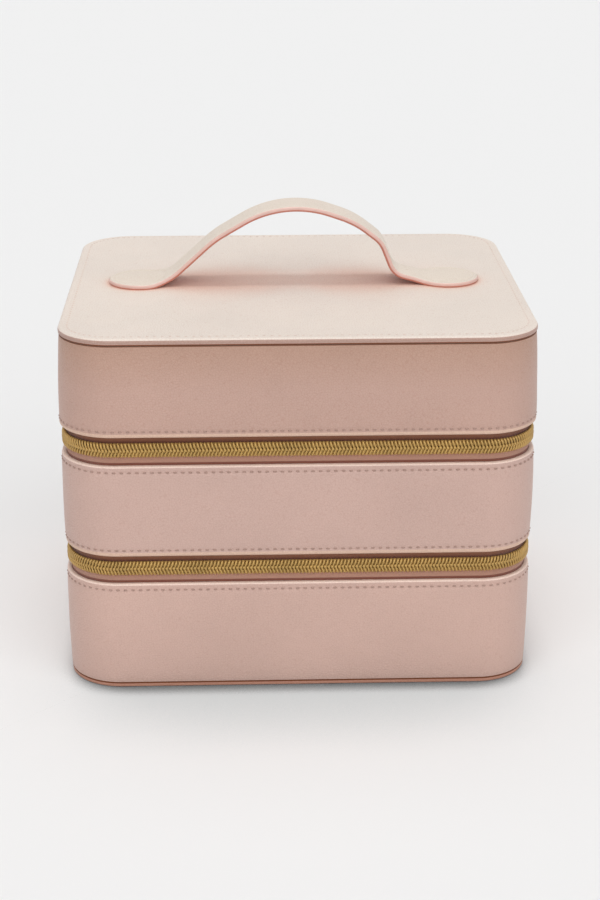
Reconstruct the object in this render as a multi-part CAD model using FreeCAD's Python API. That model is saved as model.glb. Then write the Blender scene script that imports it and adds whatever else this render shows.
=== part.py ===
"""Makeup storage case: base tray, middle tray and lid, closed by two zips and carried by a strap handle.

Millimetres, +Z up.  The origin is the middle of the underside.  The front faces -Y, the hinges are at the
back, and both zip sliders are parked on the right-hand side, just in front of the rear corner.
"""
import FreeCAD, Part
import math
import os

V = FreeCAD.Vector
X_AXIS, Y_AXIS, Z_AXIS = V(1, 0, 0), V(0, 1, 0), V(0, 0, 1)

# ---- overall sizes -------------------------------------------------------------------------------------
width = 240.0             # over the two sides
depth = 213.0             # front to back
corner_radius = 28.0      # upright corners, outside
base_height = 59.0        # underside to the base tray's rim
middle_height = 49.5      # rim to rim
lid_height = 50.5         # rim to the top of the top panel

# ---- sheet materials -----------------------------------------------------------------------------------
cover_t = 1.2             # leather cover of a wall
tape_t = 0.6              # woven zip tape
lining_t = 0.8            # suede lining
hem_height = 7.0          # leather turned in and sewn at a rim
floor_t = 2.4             # lined board on the floor of a tray
base_panel_t = 2.4
base_panel_inset = 0.6
top_panel_t = 3.6
top_panel_inset = 0.6
top_panel_bevel = 1.1     # eased edge of the top panel
ceiling_t = 2.4           # lined board under the top panel
floor_raise = 2.0         # middle floor above the middle tray's lower rim

# ---- zips ----------------------------------------------------------------------------------------------
coil_pitch = 1.78
ridge_turns = 4           # turns of the coil that one modelled ridge stands for
coil_height = 3.7         # one coil, across the chain
coil_t = 2.0              # how far a coil stands out of the tape
coil_valley = 0.8         # depth of the gap between two turns
chain_gap = 0.1           # each coil stops this far from the chain's middle line
tape_gap = 0.3            # each tape stops this far from the chain's middle line
zip_end_gap = 1.0         # tape end to the start of the rear corner
zip_clear = 0.25          # slider to coil and tape
stop_length = 2.0
stop_height = 4.2

# ---- slider and pull -----------------------------------------------------------------------------------
slider_length = 14.0
slider_plate_t = 1.2
slider_lip = 1.2
slider_flare = 0.8        # extra half-width at the mouth where the two tapes part
slider_park = 9.5         # slider's middle to the tape's end
rim_clear = 1.05          # slider's widest part to each rim
wedge_width = 3.4
wedge_length = 5.6
tape_notch = 2.3          # the tapes stand this far from the middle line round the parked wedge
bridge_bar_r = 0.65
bridge_span = 6.4         # clear length under the bridge bar
bridge_post = 1.6
bridge_post_width = 2.6
pull_eye_in_r = 1.5
pull_eye_out_r = 2.7
pull_eye_t = 1.6
pull_clear = 0.05         # eye to bridge bar where it hangs
pull_turn_clear = 0.15    # eye to slider plate as the pull turns
pull_length = 22.0
pull_width_top = 4.4
pull_width_end = 7.0
pull_t = 1.2
pull_slot_length = 8.0
pull_slot_width = 2.6

# ---- handle --------------------------------------------------------------------------------------------
strap_width = 23.0
strap_t = 2.8
end_disc_r = 17.5         # round ends that lie on the lid
end_disc_x = 81.5         # disc centres from the middle
neck_flare = 20.0         # fillet between strap and disc
# underside of the arch, left to right: corners of its straight runs above the lid, and their bends
arch_corners = [
    (-68.0, 0.0),
    (-41.6, 24.0),
    (-4.9, 45.5),
    (31.4, 32.9),
    (45.0, 22.4),
    (52.0, 5.0),
    (70.5, 0.0),
]
arch_bends = [27.0, 52.0, 54.0, 45.0, 13.5, 12.0, 30.0]
rivet_r = 2.0
rivet_clear = 0.1
rivet_bite = 1.4          # depth of the shank in the handle
rivet_head_r = 6.0
rivet_head_t = 1.0

# ---- fittings inside -----------------------------------------------------------------------------------
mirror_size = (130.0, 120.0)
mirror_corner = 8.0
mirror_t = 2.0
frame_border = 8.0
frame_lap = 3.0
frame_face_t = 1.0
slip = 0.3                # loose fit of anything laid or stood in a tray
divider_height = 38.0
divider_t = 3.0
divider_y = 12.0          # long divider behind the middle
divider_x = (-39.0, 39.0)

# ---- places worked out from the sizes ------------------------------------------------------------------
zip_groove = 2 * (coil_height + zip_clear + slider_lip + slider_flare + rim_clear)   # between two rims
base_top = base_height
middle_low = base_top + zip_groove
middle_top = middle_low + middle_height
lid_low = middle_top + zip_groove
lid_top = lid_low + lid_height
panel_low = lid_top - top_panel_t
ceiling_low = panel_low - ceiling_t
lower_zip_z = base_top + zip_groove / 2
upper_zip_z = middle_top + zip_groove / 2
hem_in = 2 * cover_t                 # inner side of a hem, where the tape is sewn on
wall_in = hem_in + tape_t            # inner side of the board
lining_in = wall_in + lining_t
coil_out = hem_in - coil_t
zip_end_y = depth / 2 - corner_radius - zip_end_gap
slider_y = zip_end_y - slider_park
far = 2 * (width + depth)


# ---- plan outlines -------------------------------------------------------------------------------------
def rounded_rectangle(size_x, size_y, radius, z):
    """Face of a rectangle with round corners, centred on the Z axis."""
    a, b = size_x / 2, size_y / 2
    h = radius * (1 - math.sqrt(0.5))
    edges = []
    for sx, sy in ((1, -1), (1, 1), (-1, 1), (-1, -1)):
        start, end = V(sx * (a - radius), sy * b, z), V(sx * a, sy * (b - radius), z)
        if sx * sy > 0:
            start, end = end, start
        edges.append((start, V(sx * (a - h), sy * (b - h), z), end))
    wire = []
    for i, (start, mid, end) in enumerate(edges):
        wire.append(Part.Arc(start, mid, end).toShape())
        wire.append(Part.LineSegment(end, edges[(i + 1) % 4][0]).toShape())
    return Part.Face(Part.Wire(wire))


def slab(inset, low, high):
    """Solid over the case's whole plan, set in from the outside by inset."""
    face = rounded_rectangle(width - 2 * inset, depth - 2 * inset, corner_radius - inset, low)
    return face.extrude(V(0, 0, high - low))


def ring(outer, inner, low, high):
    """Wall that follows the case's plan between two insets."""
    return slab(outer, low, high).cut(slab(inner, low, high))


def front_of(y, low, high):
    return Part.makeBox(far, far / 2 + y, high - low, V(-far / 2, -far / 2, low))


# ---- trays and lid -------------------------------------------------------------------------------------
def cover(low, high, hems):
    """Leather band round a tier, doubled where it is turned in at a zip."""
    band = ring(0, cover_t, low, high)
    for rim, inward in hems:
        ends = sorted((rim, rim + inward * hem_height))
        band = band.fuse(ring(cover_t, hem_in, *ends))
    return band.removeSplitter()


def base_tray():
    inside_low = base_panel_t + floor_t
    return {
        "base_panel": slab(base_panel_inset, 0, base_panel_t),
        "base_cover": cover(base_panel_t, base_top, [(base_top, -1)]),
        "base_board": ring(cover_t, wall_in, base_panel_t, base_top - hem_height),
        "base_floor": slab(wall_in, base_panel_t, inside_low),
        "base_lining": ring(wall_in, lining_in, inside_low, base_top),
    }


def middle_tray():
    board_low, board_high = middle_low + hem_height, middle_top - hem_height
    floor_low = middle_low + floor_raise
    return {
        "middle_cover": cover(middle_low, middle_top, [(middle_low, 1), (middle_top, -1)]),
        "middle_board": ring(cover_t, wall_in, board_low, board_high),
        "middle_floor": slab(wall_in, floor_low, floor_low + floor_t),
        "middle_lining": ring(wall_in, lining_in, floor_low + floor_t, middle_top),
    }


def rivet_holes(radius, low, high):
    holes = [Part.makeCylinder(radius, high - low, V(x, 0, low)) for x in (-end_disc_x, end_disc_x)]
    return Part.makeCompound(holes)


def lid():
    holes = rivet_holes(rivet_r + rivet_clear, ceiling_low, lid_top)
    panel = slab(top_panel_inset, panel_low, lid_top)
    rims = [e for f in panel.Faces if f.normalAt(0, 0).z > 0.9 for e in f.Edges]
    panel = panel.makeChamfer(top_panel_bevel, rims)
    return {
        "top_panel": panel.cut(holes),
        "lid_cover": cover(lid_low, panel_low, [(lid_low, 1)]),
        "lid_board": ring(cover_t, wall_in, lid_low + hem_height, panel_low),
        "lid_ceiling": slab(wall_in, ceiling_low, panel_low).cut(holes),
        "lid_lining": ring(wall_in, lining_in, lid_low, ceiling_low),
    }


def mirror_and_frame():
    """Glass on the ceiling of the lid, held all round by the lap of a covered frame."""
    length, breadth = mirror_size
    glass = rounded_rectangle(length, breadth, mirror_corner, ceiling_low - mirror_t)
    glass = glass.extrude(V(0, 0, mirror_t))
    low = ceiling_low - mirror_t - slip - frame_face_t
    frame = rounded_rectangle(length + 2 * frame_border, breadth + 2 * frame_border,
                              mirror_corner + frame_border, low).extrude(V(0, 0, ceiling_low - low))
    pocket = rounded_rectangle(length + 2 * slip, breadth + 2 * slip,
                               mirror_corner + slip, low + frame_face_t)
    window = rounded_rectangle(length - 2 * frame_lap, breadth - 2 * frame_lap,
                               mirror_corner - frame_lap, low)
    frame = frame.cut(pocket.extrude(V(0, 0, far))).cut(window.extrude(V(0, 0, far)))
    return {"mirror": glass, "mirror_frame": frame}


def dividers():
    """One long divider and two cross dividers, half-lapped where they cross."""
    low = base_panel_t + floor_t
    half_x, half_y = width / 2 - lining_in - slip, depth / 2 - lining_in - slip
    lap = low + divider_height / 2
    long = Part.makeBox(2 * half_x, divider_t, divider_height,
                        V(-half_x, divider_y - divider_t / 2, low))
    cross = []
    for x in divider_x:
        board = Part.makeBox(divider_t, 2 * half_y, divider_height, V(x - divider_t / 2, -half_y, low))
        slot = divider_t + 2 * slip
        board = board.cut(Part.makeBox(slot, slot, far, V(x - slot / 2, divider_y - slot / 2, lap - far)))
        long = long.cut(Part.makeBox(slot, slot, far, V(x - slot / 2, divider_y - slot / 2, lap)))
        cross.append(board)
    return {"long_divider": long, "cross_dividers": Part.makeCompound(cross)}


# ---- handle --------------------------------------------------------------------------------------------
def handle():
    """Strap bent into an arch: what its side profile and its plan outline, each extruded, share."""
    under, over = strap_side(0), strap_side(strap_t)
    ends = [Part.LineSegment(under[i].Vertexes[v].Point, over[i].Vertexes[v].Point).toShape()
            for i, v in ((0, 0), (-1, 1))]
    side = Part.Face(Part.Wire(Part.__sortEdges__(under + over + ends))).extrude(V(0, 2 * end_disc_r, 0))
    side.translate(V(0, -end_disc_r, 0))
    plan = strap_outline().extrude(V(0, 0, far))
    plan.translate(V(0, 0, lid_top - far / 2))
    holes = rivet_holes(rivet_r + rivet_clear, lid_top, lid_top + rivet_bite)
    return side.common(plan).cut(holes).Solids[0]


def strap_side(rise):
    """Edges of the strap's side profile, rise above its underside: straight runs joined by bends."""
    end_x = end_disc_x + end_disc_r
    corners = [V(x, 0, lid_top + z) for x, z in [(-end_x, 0), *arch_corners, (end_x, 0)]]
    edges, start = [], corners[0] + V(0, 0, rise)
    for before, corner, after, radius in zip(corners, corners[1:], corners[2:], arch_bends):
        come, leave = (corner - before).normalize(), (after - corner).normalize()
        half_turn = come.getAngle(leave) / 2
        inward = (leave - come).normalize()
        centre = corner + inward * (radius / math.cos(half_turn))
        reach = radius * math.tan(half_turn)
        scale = 1 - math.copysign(rise / radius, inward.z)
        bend = [centre + (point - centre) * scale
                for point in (corner - come * reach, centre - inward * radius, corner + leave * reach)]
        edges += [Part.LineSegment(start, bend[0]).toShape(), Part.Arc(*bend).toShape()]
        start = bend[2]
    edges.append(Part.LineSegment(start, corners[-1] + V(0, 0, rise)).toShape())
    return edges


def strap_outline():
    """Plan of the handle: a straight strap whose sides flare, tangent to both, into a disc at each end."""
    half = strap_width / 2
    run = math.sqrt((end_disc_r + neck_flare) ** 2 - (half + neck_flare) ** 2)
    share = end_disc_r / (end_disc_r + neck_flare)
    centre = V(end_disc_x - run, half + neck_flare, 0)
    leave = V(centre.x, half, 0)
    meet = V(end_disc_x - run * share, centre.y * share, 0)
    middle = centre + ((leave + meet) / 2 - centre).normalize() * neck_flare

    def placed(point, side, edge):
        return V(side * point.x, edge * point.y, 0)

    edges = []
    for side in (1, -1):
        tip = V(side * (end_disc_x + end_disc_r), 0, 0)
        edges.append(Part.Arc(placed(meet, side, 1), tip, placed(meet, side, -1)))
        for edge in (1, -1):
            edges.append(Part.Arc(*[placed(q, side, edge) for q in (leave, middle, meet)]))
    for edge in (1, -1):
        edges.append(Part.LineSegment(placed(leave, -1, edge), placed(leave, 1, edge)))
    return Part.Face(Part.Wire(Part.__sortEdges__([e.toShape() for e in edges])))


def handle_rivets():
    rivets = []
    for x in (-end_disc_x, end_disc_x):
        shank = Part.makeCylinder(rivet_r, lid_top + rivet_bite - ceiling_low, V(x, 0, ceiling_low))
        head = Part.makeCylinder(rivet_head_r, rivet_head_t, V(x, 0, ceiling_low - rivet_head_t))
        rivets.append(shank.fuse(head).removeSplitter())
    return Part.makeCompound(rivets)


# ---- zips ----------------------------------------------------------------------------------------------
def tape(low, high, middle):
    """Half of the zip's tape, notched where the two halves part round the parked slider's wedge."""
    strip = ring(hem_in, wall_in, low, high).common(front_of(zip_end_y, low, high))
    notch = Part.makeBox(width, far, 2 * tape_notch, V(0, slider_y, middle - tape_notch))
    return strip.cut(notch)


def station(s, inset, end_y):
    """Point at distance s along the zip's run, from its right-hand end round the front to the left."""
    side = end_y + depth / 2 - corner_radius
    front = width - 2 * corner_radius
    bend = corner_radius * math.pi / 2
    a, b, r = width / 2 - corner_radius, depth / 2 - corner_radius, corner_radius - inset
    if s <= side:
        return a + r, end_y - s
    s -= side
    if s <= bend:
        turn = s / corner_radius
        return a + r * math.cos(turn), -b - r * math.sin(turn)
    s -= bend
    if s <= front:
        return a - s, -b - r
    s -= front
    if s <= bend:
        turn = s / corner_radius
        return -a - r * math.sin(turn), -b - r * math.cos(turn)
    return -a - r, -b + s - bend


def coil(low, high, phase, end_y):
    """Half of the chain: upright ridges for the turns of the coil, placed along the zip's run."""
    left_end = zip_end_y - stop_length
    right_side = end_y + depth / 2 - corner_radius
    left_side = left_end + depth / 2 - corner_radius
    length = right_side + left_side + width - 2 * corner_radius + corner_radius * math.pi
    pitch = coil_pitch * ridge_turns
    ridges = int(length / pitch) - 1
    start = (length - ridges * pitch) / 2 + phase * pitch / 4
    outer = []
    for k in range(2 * ridges + 1):
        inset = coil_out + (coil_valley if k % 2 == 0 else 0)
        outer.append(station(start + k * pitch / 2, inset, end_y))
    # the flat back clears the tape's round corners
    back = corner_radius - (corner_radius - hem_in) / math.cos(pitch / (2 * corner_radius))
    inner = [station(start + k * pitch, back, end_y)
             for k in range(ridges, -1, -1) if k in (0, ridges) or bends(start + k * pitch, end_y)]
    points = [V(x, y, low) for x, y in outer + inner]
    return Part.Face(Part.makePolygon(points + points[:1])).extrude(V(0, 0, high - low))


def bends(s, end_y):
    """Whether the zip's run turns a corner at s, with one ridge to spare."""
    side = end_y + depth / 2 - corner_radius
    bend = corner_radius * math.pi / 2
    for begin in (side, side + bend + width - 2 * corner_radius):
        spare = coil_pitch * ridge_turns
        if begin - spare <= s <= begin + bend + spare:
            return True
    return False


def stops(low, high, right_end):
    """A crimped stop at each end of one coil."""
    across = coil_t + slider_plate_t / 2
    x = width / 2 - hem_in
    left = Part.makeBox(across, stop_length, high - low, V(-x - across, zip_end_y - stop_length, low))
    right = Part.makeBox(across, stop_length, high - low, V(x, right_end, low))
    return Part.makeCompound([left, right])


def slider(z):
    """Zip slider: two plates, the lips that hold the coils, the wedge that parts them, and the bridge."""
    x0 = width / 2
    half = coil_height + zip_clear + slider_lip
    out_face = coil_out - zip_clear - slider_plate_t
    in_face = wall_in + zip_clear
    outer_plate = slider_plate(half, x0 - out_face - slider_plate_t, slider_plate_t)
    inner_plate = slider_plate(half, x0 - in_face - slider_plate_t, slider_plate_t)
    lips = slider_plate(half, x0 - hem_in + zip_clear, coil_t)
    channel = slider_plate(half - slider_lip, x0 - hem_in, 2 * coil_t)
    body = outer_plate.fuse(inner_plate).fuse(lips.cut(channel)).fuse(wedge(x0 - in_face, x0 - out_face))
    body = body.fuse(bridge(x0 - out_face))
    body.translate(V(0, slider_y, z))
    return body.removeSplitter()


def slider_plate(half, x, thickness):
    """Shield-shaped plate across the chain, wider at the mouth where the tapes part."""
    end, wide = slider_length / 2, half + slider_flare
    rear = V(x, -end, -half)
    points = [rear, V(x, 0, -half), V(x, end * 0.5, -wide), V(x, end, -wide * 0.7),
              V(x, end, wide * 0.7), V(x, end * 0.5, wide), V(x, 0, half), V(x, -end, half), rear]
    return Part.Face(Part.makePolygon(points)).extrude(V(thickness, 0, 0))


def wedge(x_in, x_out):
    """Diamond between the plates, pointing at the closed chain."""
    end, wide = slider_length / 2, wedge_width / 2
    points = [V(x_in, end - wedge_length, 0), V(x_in, end - wedge_length * 0.3, -wide),
              V(x_in, end, -wide * 0.6), V(x_in, end, wide * 0.6),
              V(x_in, end - wedge_length * 0.3, wide), V(x_in, end - wedge_length, 0)]
    return Part.Face(Part.makePolygon(points)).extrude(V(x_out - x_in - slider_plate_t / 2, 0, 0))


def bridge_x():
    """Middle of the bridge bar from the case's centre plane."""
    plate = width / 2 - coil_out + zip_clear + slider_plate_t
    return plate + pull_eye_out_r + pull_turn_clear


def bridge(plate_x):
    """Round bar on two posts, which the pull hangs on."""
    reach = bridge_span / 2 + bridge_post
    bar = Part.makeCylinder(bridge_bar_r, 2 * reach, V(bridge_x(), -reach, 0), Y_AXIS)
    for start in (-reach, bridge_span / 2):
        post = Part.makeBox(bridge_x() - plate_x, bridge_post, bridge_post_width,
                            V(plate_x, start, -bridge_post_width / 2))
        bar = bar.fuse(post)
    return bar


def pull(z):
    """Pull with an eye round the bridge bar and a flat slotted tab that hangs beside the wall."""
    drop = pull_eye_in_r - bridge_bar_r - pull_clear
    x, eye_z = bridge_x(), -drop
    eye = Part.makeCylinder(pull_eye_out_r, pull_eye_t, V(x, -pull_eye_t / 2, eye_z), Y_AXIS)
    hole = Part.makeCylinder(pull_eye_in_r, pull_eye_t, V(x, -pull_eye_t / 2, eye_z), Y_AXIS)
    top, r = eye_z - (pull_eye_in_r + pull_eye_out_r) / 2, pull_width_end / 2
    low = top - pull_length + r
    back = x - pull_t / 2
    corners = [V(back, pull_width_top / 2, top), V(back, r, low)]
    mirror = [V(p.x, -p.y, p.z) for p in reversed(corners)]
    edges = [Part.LineSegment(corners[0], corners[1]).toShape(),
             Part.Arc(corners[1], V(back, 0, low - r), mirror[0]).toShape(),
             Part.LineSegment(mirror[0], mirror[1]).toShape(),
             Part.LineSegment(mirror[1], corners[0]).toShape()]
    tab = Part.Face(Part.Wire(edges)).extrude(V(pull_t, 0, 0))
    tab = tab.cut(pull_slot(back, low)).fuse(eye).cut(hole)
    tab.translate(V(0, slider_y, z))
    return tab.removeSplitter()


def pull_slot(x, z):
    """Round-ended slot in the tab."""
    r = pull_slot_width / 2
    slot = Part.makeBox(pull_t, pull_slot_width, pull_slot_length, V(x, -r, z))
    for end in (z, z + pull_slot_length):
        slot = slot.fuse(Part.makeCylinder(r, pull_t, V(x, 0, end), X_AXIS))
    return slot


def zip_parts(name, z):
    """Both halves of one zip with their stops, and its slider and pull."""
    half_tape = zip_groove / 2 + hem_height
    rear = slider_y - slider_length / 2
    coil_ends = {"lower": slider_y, "upper": rear - zip_clear - stop_length}
    stop_z = z - chain_gap - stop_height, z + chain_gap + stop_height
    parts = {
        "lower_tape": tape(z - half_tape, z - tape_gap, z),
        "upper_tape": tape(z + tape_gap, z + half_tape, z),
        "lower_coil": coil(z - chain_gap - coil_height, z - chain_gap, 0, coil_ends["lower"]),
        "upper_coil": coil(z + chain_gap, z + chain_gap + coil_height, 1, coil_ends["upper"]),
        "lower_stops": stops(stop_z[0], z - chain_gap, zip_end_y - stop_length),
        "upper_stops": stops(z + chain_gap, stop_z[1], coil_ends["upper"]),
        "slider": slider(z),
        "pull": pull(z),
    }
    return {f"{name}_zip_{part}": shape for part, shape in parts.items()}


def hinge_strip(z):
    """Leather strip sewn behind both rims at the back and round the rear corners."""
    reach = zip_groove / 2 + hem_height
    strip = ring(hem_in, wall_in, z - reach, z + reach)
    return strip.cut(front_of(zip_end_y, z - reach, z + reach))


def main():
    parts = {}
    parts.update(base_tray())
    parts.update(middle_tray())
    parts.update(lid())
    parts.update(mirror_and_frame())
    parts.update(dividers())
    parts["handle"] = handle()
    parts["handle_rivets"] = handle_rivets()
    parts.update(zip_parts("base", lower_zip_z))
    parts.update(zip_parts("lid", upper_zip_z))
    parts["base_hinge_strip"] = hinge_strip(lower_zip_z)
    parts["lid_hinge_strip"] = hinge_strip(upper_zip_z)
    os.makedirs("parts", exist_ok=True)
    for name, shape in parts.items():
        shape.exportStep(f"parts/{name}.step")


main()
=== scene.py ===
import math

import bpy
from bpy.props import FloatProperty, FloatVectorProperty, PointerProperty
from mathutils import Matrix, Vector, noise


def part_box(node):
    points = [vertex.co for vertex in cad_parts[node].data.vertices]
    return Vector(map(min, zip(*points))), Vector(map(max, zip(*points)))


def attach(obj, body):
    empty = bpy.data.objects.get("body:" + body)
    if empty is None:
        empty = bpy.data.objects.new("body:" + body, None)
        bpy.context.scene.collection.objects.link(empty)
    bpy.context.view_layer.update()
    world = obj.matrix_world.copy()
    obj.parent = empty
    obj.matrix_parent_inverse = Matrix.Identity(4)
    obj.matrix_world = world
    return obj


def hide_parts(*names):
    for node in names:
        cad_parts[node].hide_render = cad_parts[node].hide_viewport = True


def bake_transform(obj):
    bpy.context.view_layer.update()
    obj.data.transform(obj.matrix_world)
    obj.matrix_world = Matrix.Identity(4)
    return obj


bl_info = {
    "name": "Zipped Makeup Case",
    "version": (1, 0, 0),
    "blender": (4, 5, 0),
    "location": "3D View > Sidebar > Makeup Case",
    "description": "Leather trays, coil zips, strap handle and lining of a zipped makeup case",
    "category": "Add Mesh",
}

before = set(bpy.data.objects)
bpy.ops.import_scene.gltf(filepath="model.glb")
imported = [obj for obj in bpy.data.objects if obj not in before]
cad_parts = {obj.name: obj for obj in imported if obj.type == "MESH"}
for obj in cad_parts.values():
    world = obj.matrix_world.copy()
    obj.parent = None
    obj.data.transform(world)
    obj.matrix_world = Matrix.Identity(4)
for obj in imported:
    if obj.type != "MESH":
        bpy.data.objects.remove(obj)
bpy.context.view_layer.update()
MM = 0.001
HAIR = 0.01 * MM            # places closer than this touch


# ---- places read from the frame ------------------------------------------------------------------------
def node_box(name):
    low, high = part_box(name)
    return Vector(low), Vector(high)


def upright_corner_radius(name):
    """Radius of the round upright corners of a wall that follows the case's plan."""
    low, high = node_box(name)
    front = [v.co.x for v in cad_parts[name].data.vertices if v.co.y < low.y + HAIR]
    return high.x - max(front)


COVER_LOW, COVER_HIGH = node_box("base_cover")
WIDTH = COVER_HIGH.x - COVER_LOW.x
DEPTH = COVER_HIGH.y - COVER_LOW.y
CORNER = upright_corner_radius("base_cover")
LID_TOP = node_box("top_panel")[1].z
TAPE_OUT = WIDTH / 2 - node_box("base_zip_lower_tape")[1].x
TAPE_T = 0.6 * MM
TAPE_IN = TAPE_OUT + TAPE_T
COVER_T = 1.2 * MM          # leather
HEM_HEIGHT = 7.0 * MM       # leather turned in behind a rim


# ---- what a user may change ----------------------------------------------------------------------------
def millimetres(name, description, default, low=0.0, high=50.0):
    return FloatProperty(name=name, description=description, default=default * MM,
                         min=low * MM, max=high * MM, subtype="DISTANCE", unit="LENGTH")


def amount(name, description, default):
    return FloatProperty(name=name, description=description, default=default, min=0.0)


def colour(name, description, default):
    return FloatVectorProperty(name=name, description=description, subtype="COLOR",
                               size=3, default=default, min=0.0, max=1.0)


def position(name, description, default):
    return FloatVectorProperty(name=name, description=description, size=3, default=default,
                               subtype="TRANSLATION", unit="LENGTH")


class CaseSizes(bpy.types.PropertyGroup):
    """Sizes of the sewing, the leather's swell and grain, and the coils"""

    stitch_pitch: millimetres("Stitch pitch", "From one stitch to the next", 3.8)
    stitch_length: millimetres("Stitch length", "Thread that shows between two holes", 1.4)
    stitch_inset: millimetres("Stitch inset", "From a rim to its row of stitches", 3.35)
    panel_stitch_inset: millimetres("Panel stitch inset", "From the top panel's edge to its stitches", 4.6)
    thread: millimetres("Thread", "Radius of the sewing thread", 0.42)
    panel_thread: millimetres("Panel thread", "Radius of the top panel's thread", 0.15)
    puff: millimetres("Puff", "How far the leather bulges between two rows of stitches", 0.45)
    waviness: millimetres("Waviness", "Uneven swell of the leather over its board", 0.16)
    coil_pitch: millimetres("Coil pitch", "From one turn of a zip's coil to the next", 1.78)
    coil_wire: millimetres("Coil wire", "Radius of the coil's wire", 0.58)
    coil_reach: millimetres("Coil reach", "How far one coil reaches from the middle of the chain", 3.75)
    coil_cross: millimetres("Coil cross", "How far a coil's heads pass the middle of the chain", 0.86)
    pebble: millimetres("Pebble", "Width of one pebble of the grain", 1.3)
    station: millimetres("Station", "From one row of a band's mesh to the next", 1.8)


class CaseColours(bpy.types.PropertyGroup):
    """Tones of the leathers, threads, metals, tapes and lining"""

    leather: colour("Base leather", "Band round the base tray", (0.635, 0.430, 0.365))
    middle_leather: colour("Middle leather", "Band round the middle tray", (0.610, 0.418, 0.360))
    # painted shade: the band leather made darker and browner for the lid, which gets less light
    lid_leather: colour("Lid shaded leather", "Band round the lid, and the top panel's side", (0.555, 0.360, 0.297))
    # painted highlight: the rolled tops of the upper rims, lit from above
    upper_rim_highlight: colour("Fold", "Leather stretched over the upper rims", (0.900, 0.700, 0.605))
    # painted highlight: the rolled lower rims, lighter than their band
    lower_rim_highlight: colour("Lip", "Leather where it turns under at a lower rim", (0.700, 0.485, 0.375))
    panel: colour("Panel leather", "Top panel", (0.790, 0.698, 0.620))
    handle: colour("Handle leather", "Face of the strap", (0.750, 0.657, 0.560))
    backing: colour("Strap backing", "Underside of the strap", (0.600, 0.230, 0.170))
    edge_paint: colour("Edge paint", "Painted edge of the strap", (0.755, 0.500, 0.440))
    welt: colour("Welt", "Edge of the base panel", (0.580, 0.285, 0.200))
    # painted shade: a near-black brown on the faces down in the seam grooves
    crease: colour("Crease", "Deep seam between a panel and its band", (0.240, 0.090, 0.048))
    thread: colour("Thread", "Sewing thread of the bands", (0.470, 0.305, 0.250))
    panel_thread: colour("Panel thread", "Sewing thread of the top panel", (0.810, 0.690, 0.620))
    gold: colour("Gold", "Sliders, pulls, stops and rivets", (0.780, 0.560, 0.250))
    coil: colour("Coil", "Plated wire of the coils", (0.545, 0.340, 0.105))
    tape: colour("Tape", "Lower woven tape of a zip", (0.670, 0.355, 0.255))
    upper_tape: colour("Upper tape", "Upper tape of a zip, in its tier's shade", (0.340, 0.125, 0.060))
    suede: colour("Suede", "Lining, floors and dividers", (0.640, 0.480, 0.430))
    board: colour("Board", "Pressed board in the walls", (0.300, 0.240, 0.190))


class CaseStage(bpy.types.PropertyGroup):
    """Camera, lamps and floor"""

    azimuth: FloatProperty(name="Azimuth", description="Camera round the case, in degrees", default=-1.611)
    elevation: FloatProperty(name="Elevation", description="Camera above the floor, in degrees",
                             default=20.043)
    distance: millimetres("Distance", "Camera to the case's middle", 1022.95, high=5000.0)
    lens: FloatProperty(name="Lens", description="Focal length in millimetres", default=73.79)
    middle: position("Middle", "Middle of the case", (0.0, 0.0, 0.095))
    aim: position("Aim", "Place that the camera looks at", (0.0032, -0.0017, 0.0908))
    backdrop: amount("Backdrop", "Brightness of the background", 0.888)
    daylight: amount("Daylight", "Strength of the even light from all round", 0.30)
    overhead: amount("Overhead lamp", "Strength of the lamp above", 0.75)
    rear: amount("Rear lamp", "Strength of the lamp above and behind", 0.55)
    front: amount("Front lamp", "Strength of the wide lamp in front", 1.95)
    near_shade: millimetres("Near shade", "How far round the case the floor darkens", 90.0, high=500.0)
    near_tone: colour("Near tone", "Tone of the floor against the case", (0.660, 0.735, 0.755))
    touch_shade: millimetres("Touch shade", "Reach of the dark line under the case's edge", 15.0)
    touch_tone: colour("Touch tone", "Tone of that line", (0.090, 0.090, 0.090))


def sizes():
    return bpy.context.scene.case_sizes


def colours():
    return bpy.context.scene.case_colours


# ---- the case's plan -----------------------------------------------------------------------------------
class Plan:
    """The rounded rectangle that every band, tape and lining follows.

    A place along it is a length measured on the outside, from the rear end of the right-hand side's flat,
    forwards, round the front to the left, and back along the rear.
    """

    def __init__(self, width, depth, radius):
        self.radius = radius
        self.half_front = width / 2 - radius
        self.half_side = depth / 2 - radius
        self.bend = radius * math.pi / 2
        self.legs = (2 * self.half_side, self.bend, 2 * self.half_front, self.bend) * 2
        self.length = sum(self.legs)

    def at(self, s, inset=0.0):
        """(x, y, outward x, outward y) at length s, set in from the outside."""
        s = s % self.length
        a, b = self.half_front, self.half_side
        corners = ((a, -b), (-a, -b), (-a, b), (a, b))
        r = self.radius - inset
        for leg, size in enumerate(self.legs):
            if s <= size or leg == len(self.legs) - 1:
                break
            s -= size
        cx, cy = corners[leg // 2]
        heading = -math.pi / 2 * (leg // 2)
        if leg % 2 == 0:
            nx, ny = math.cos(heading), math.sin(heading)
            left = size - s
            return cx + nx * r - ny * left, cy + ny * r + nx * left, nx, ny
        turn = heading - s / self.radius
        nx, ny = math.cos(turn), math.sin(turn)
        return cx + nx * r, cy + ny * r, nx, ny

    def closed(self, count):
        return [self.length * i / count for i in range(count)]

    def run(self, start, end, step):
        count = max(2, round((end - start) / step))
        return [start + (end - start) * i / count for i in range(count + 1)]


PLAN = Plan(WIDTH, DEPTH, CORNER)
ZIP_START = DEPTH / 2 - CORNER - node_box("base_zip_lower_tape")[1].y
ZIP_FINISH = sum(PLAN.legs[:5]) - ZIP_START     # both sides and the front


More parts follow.
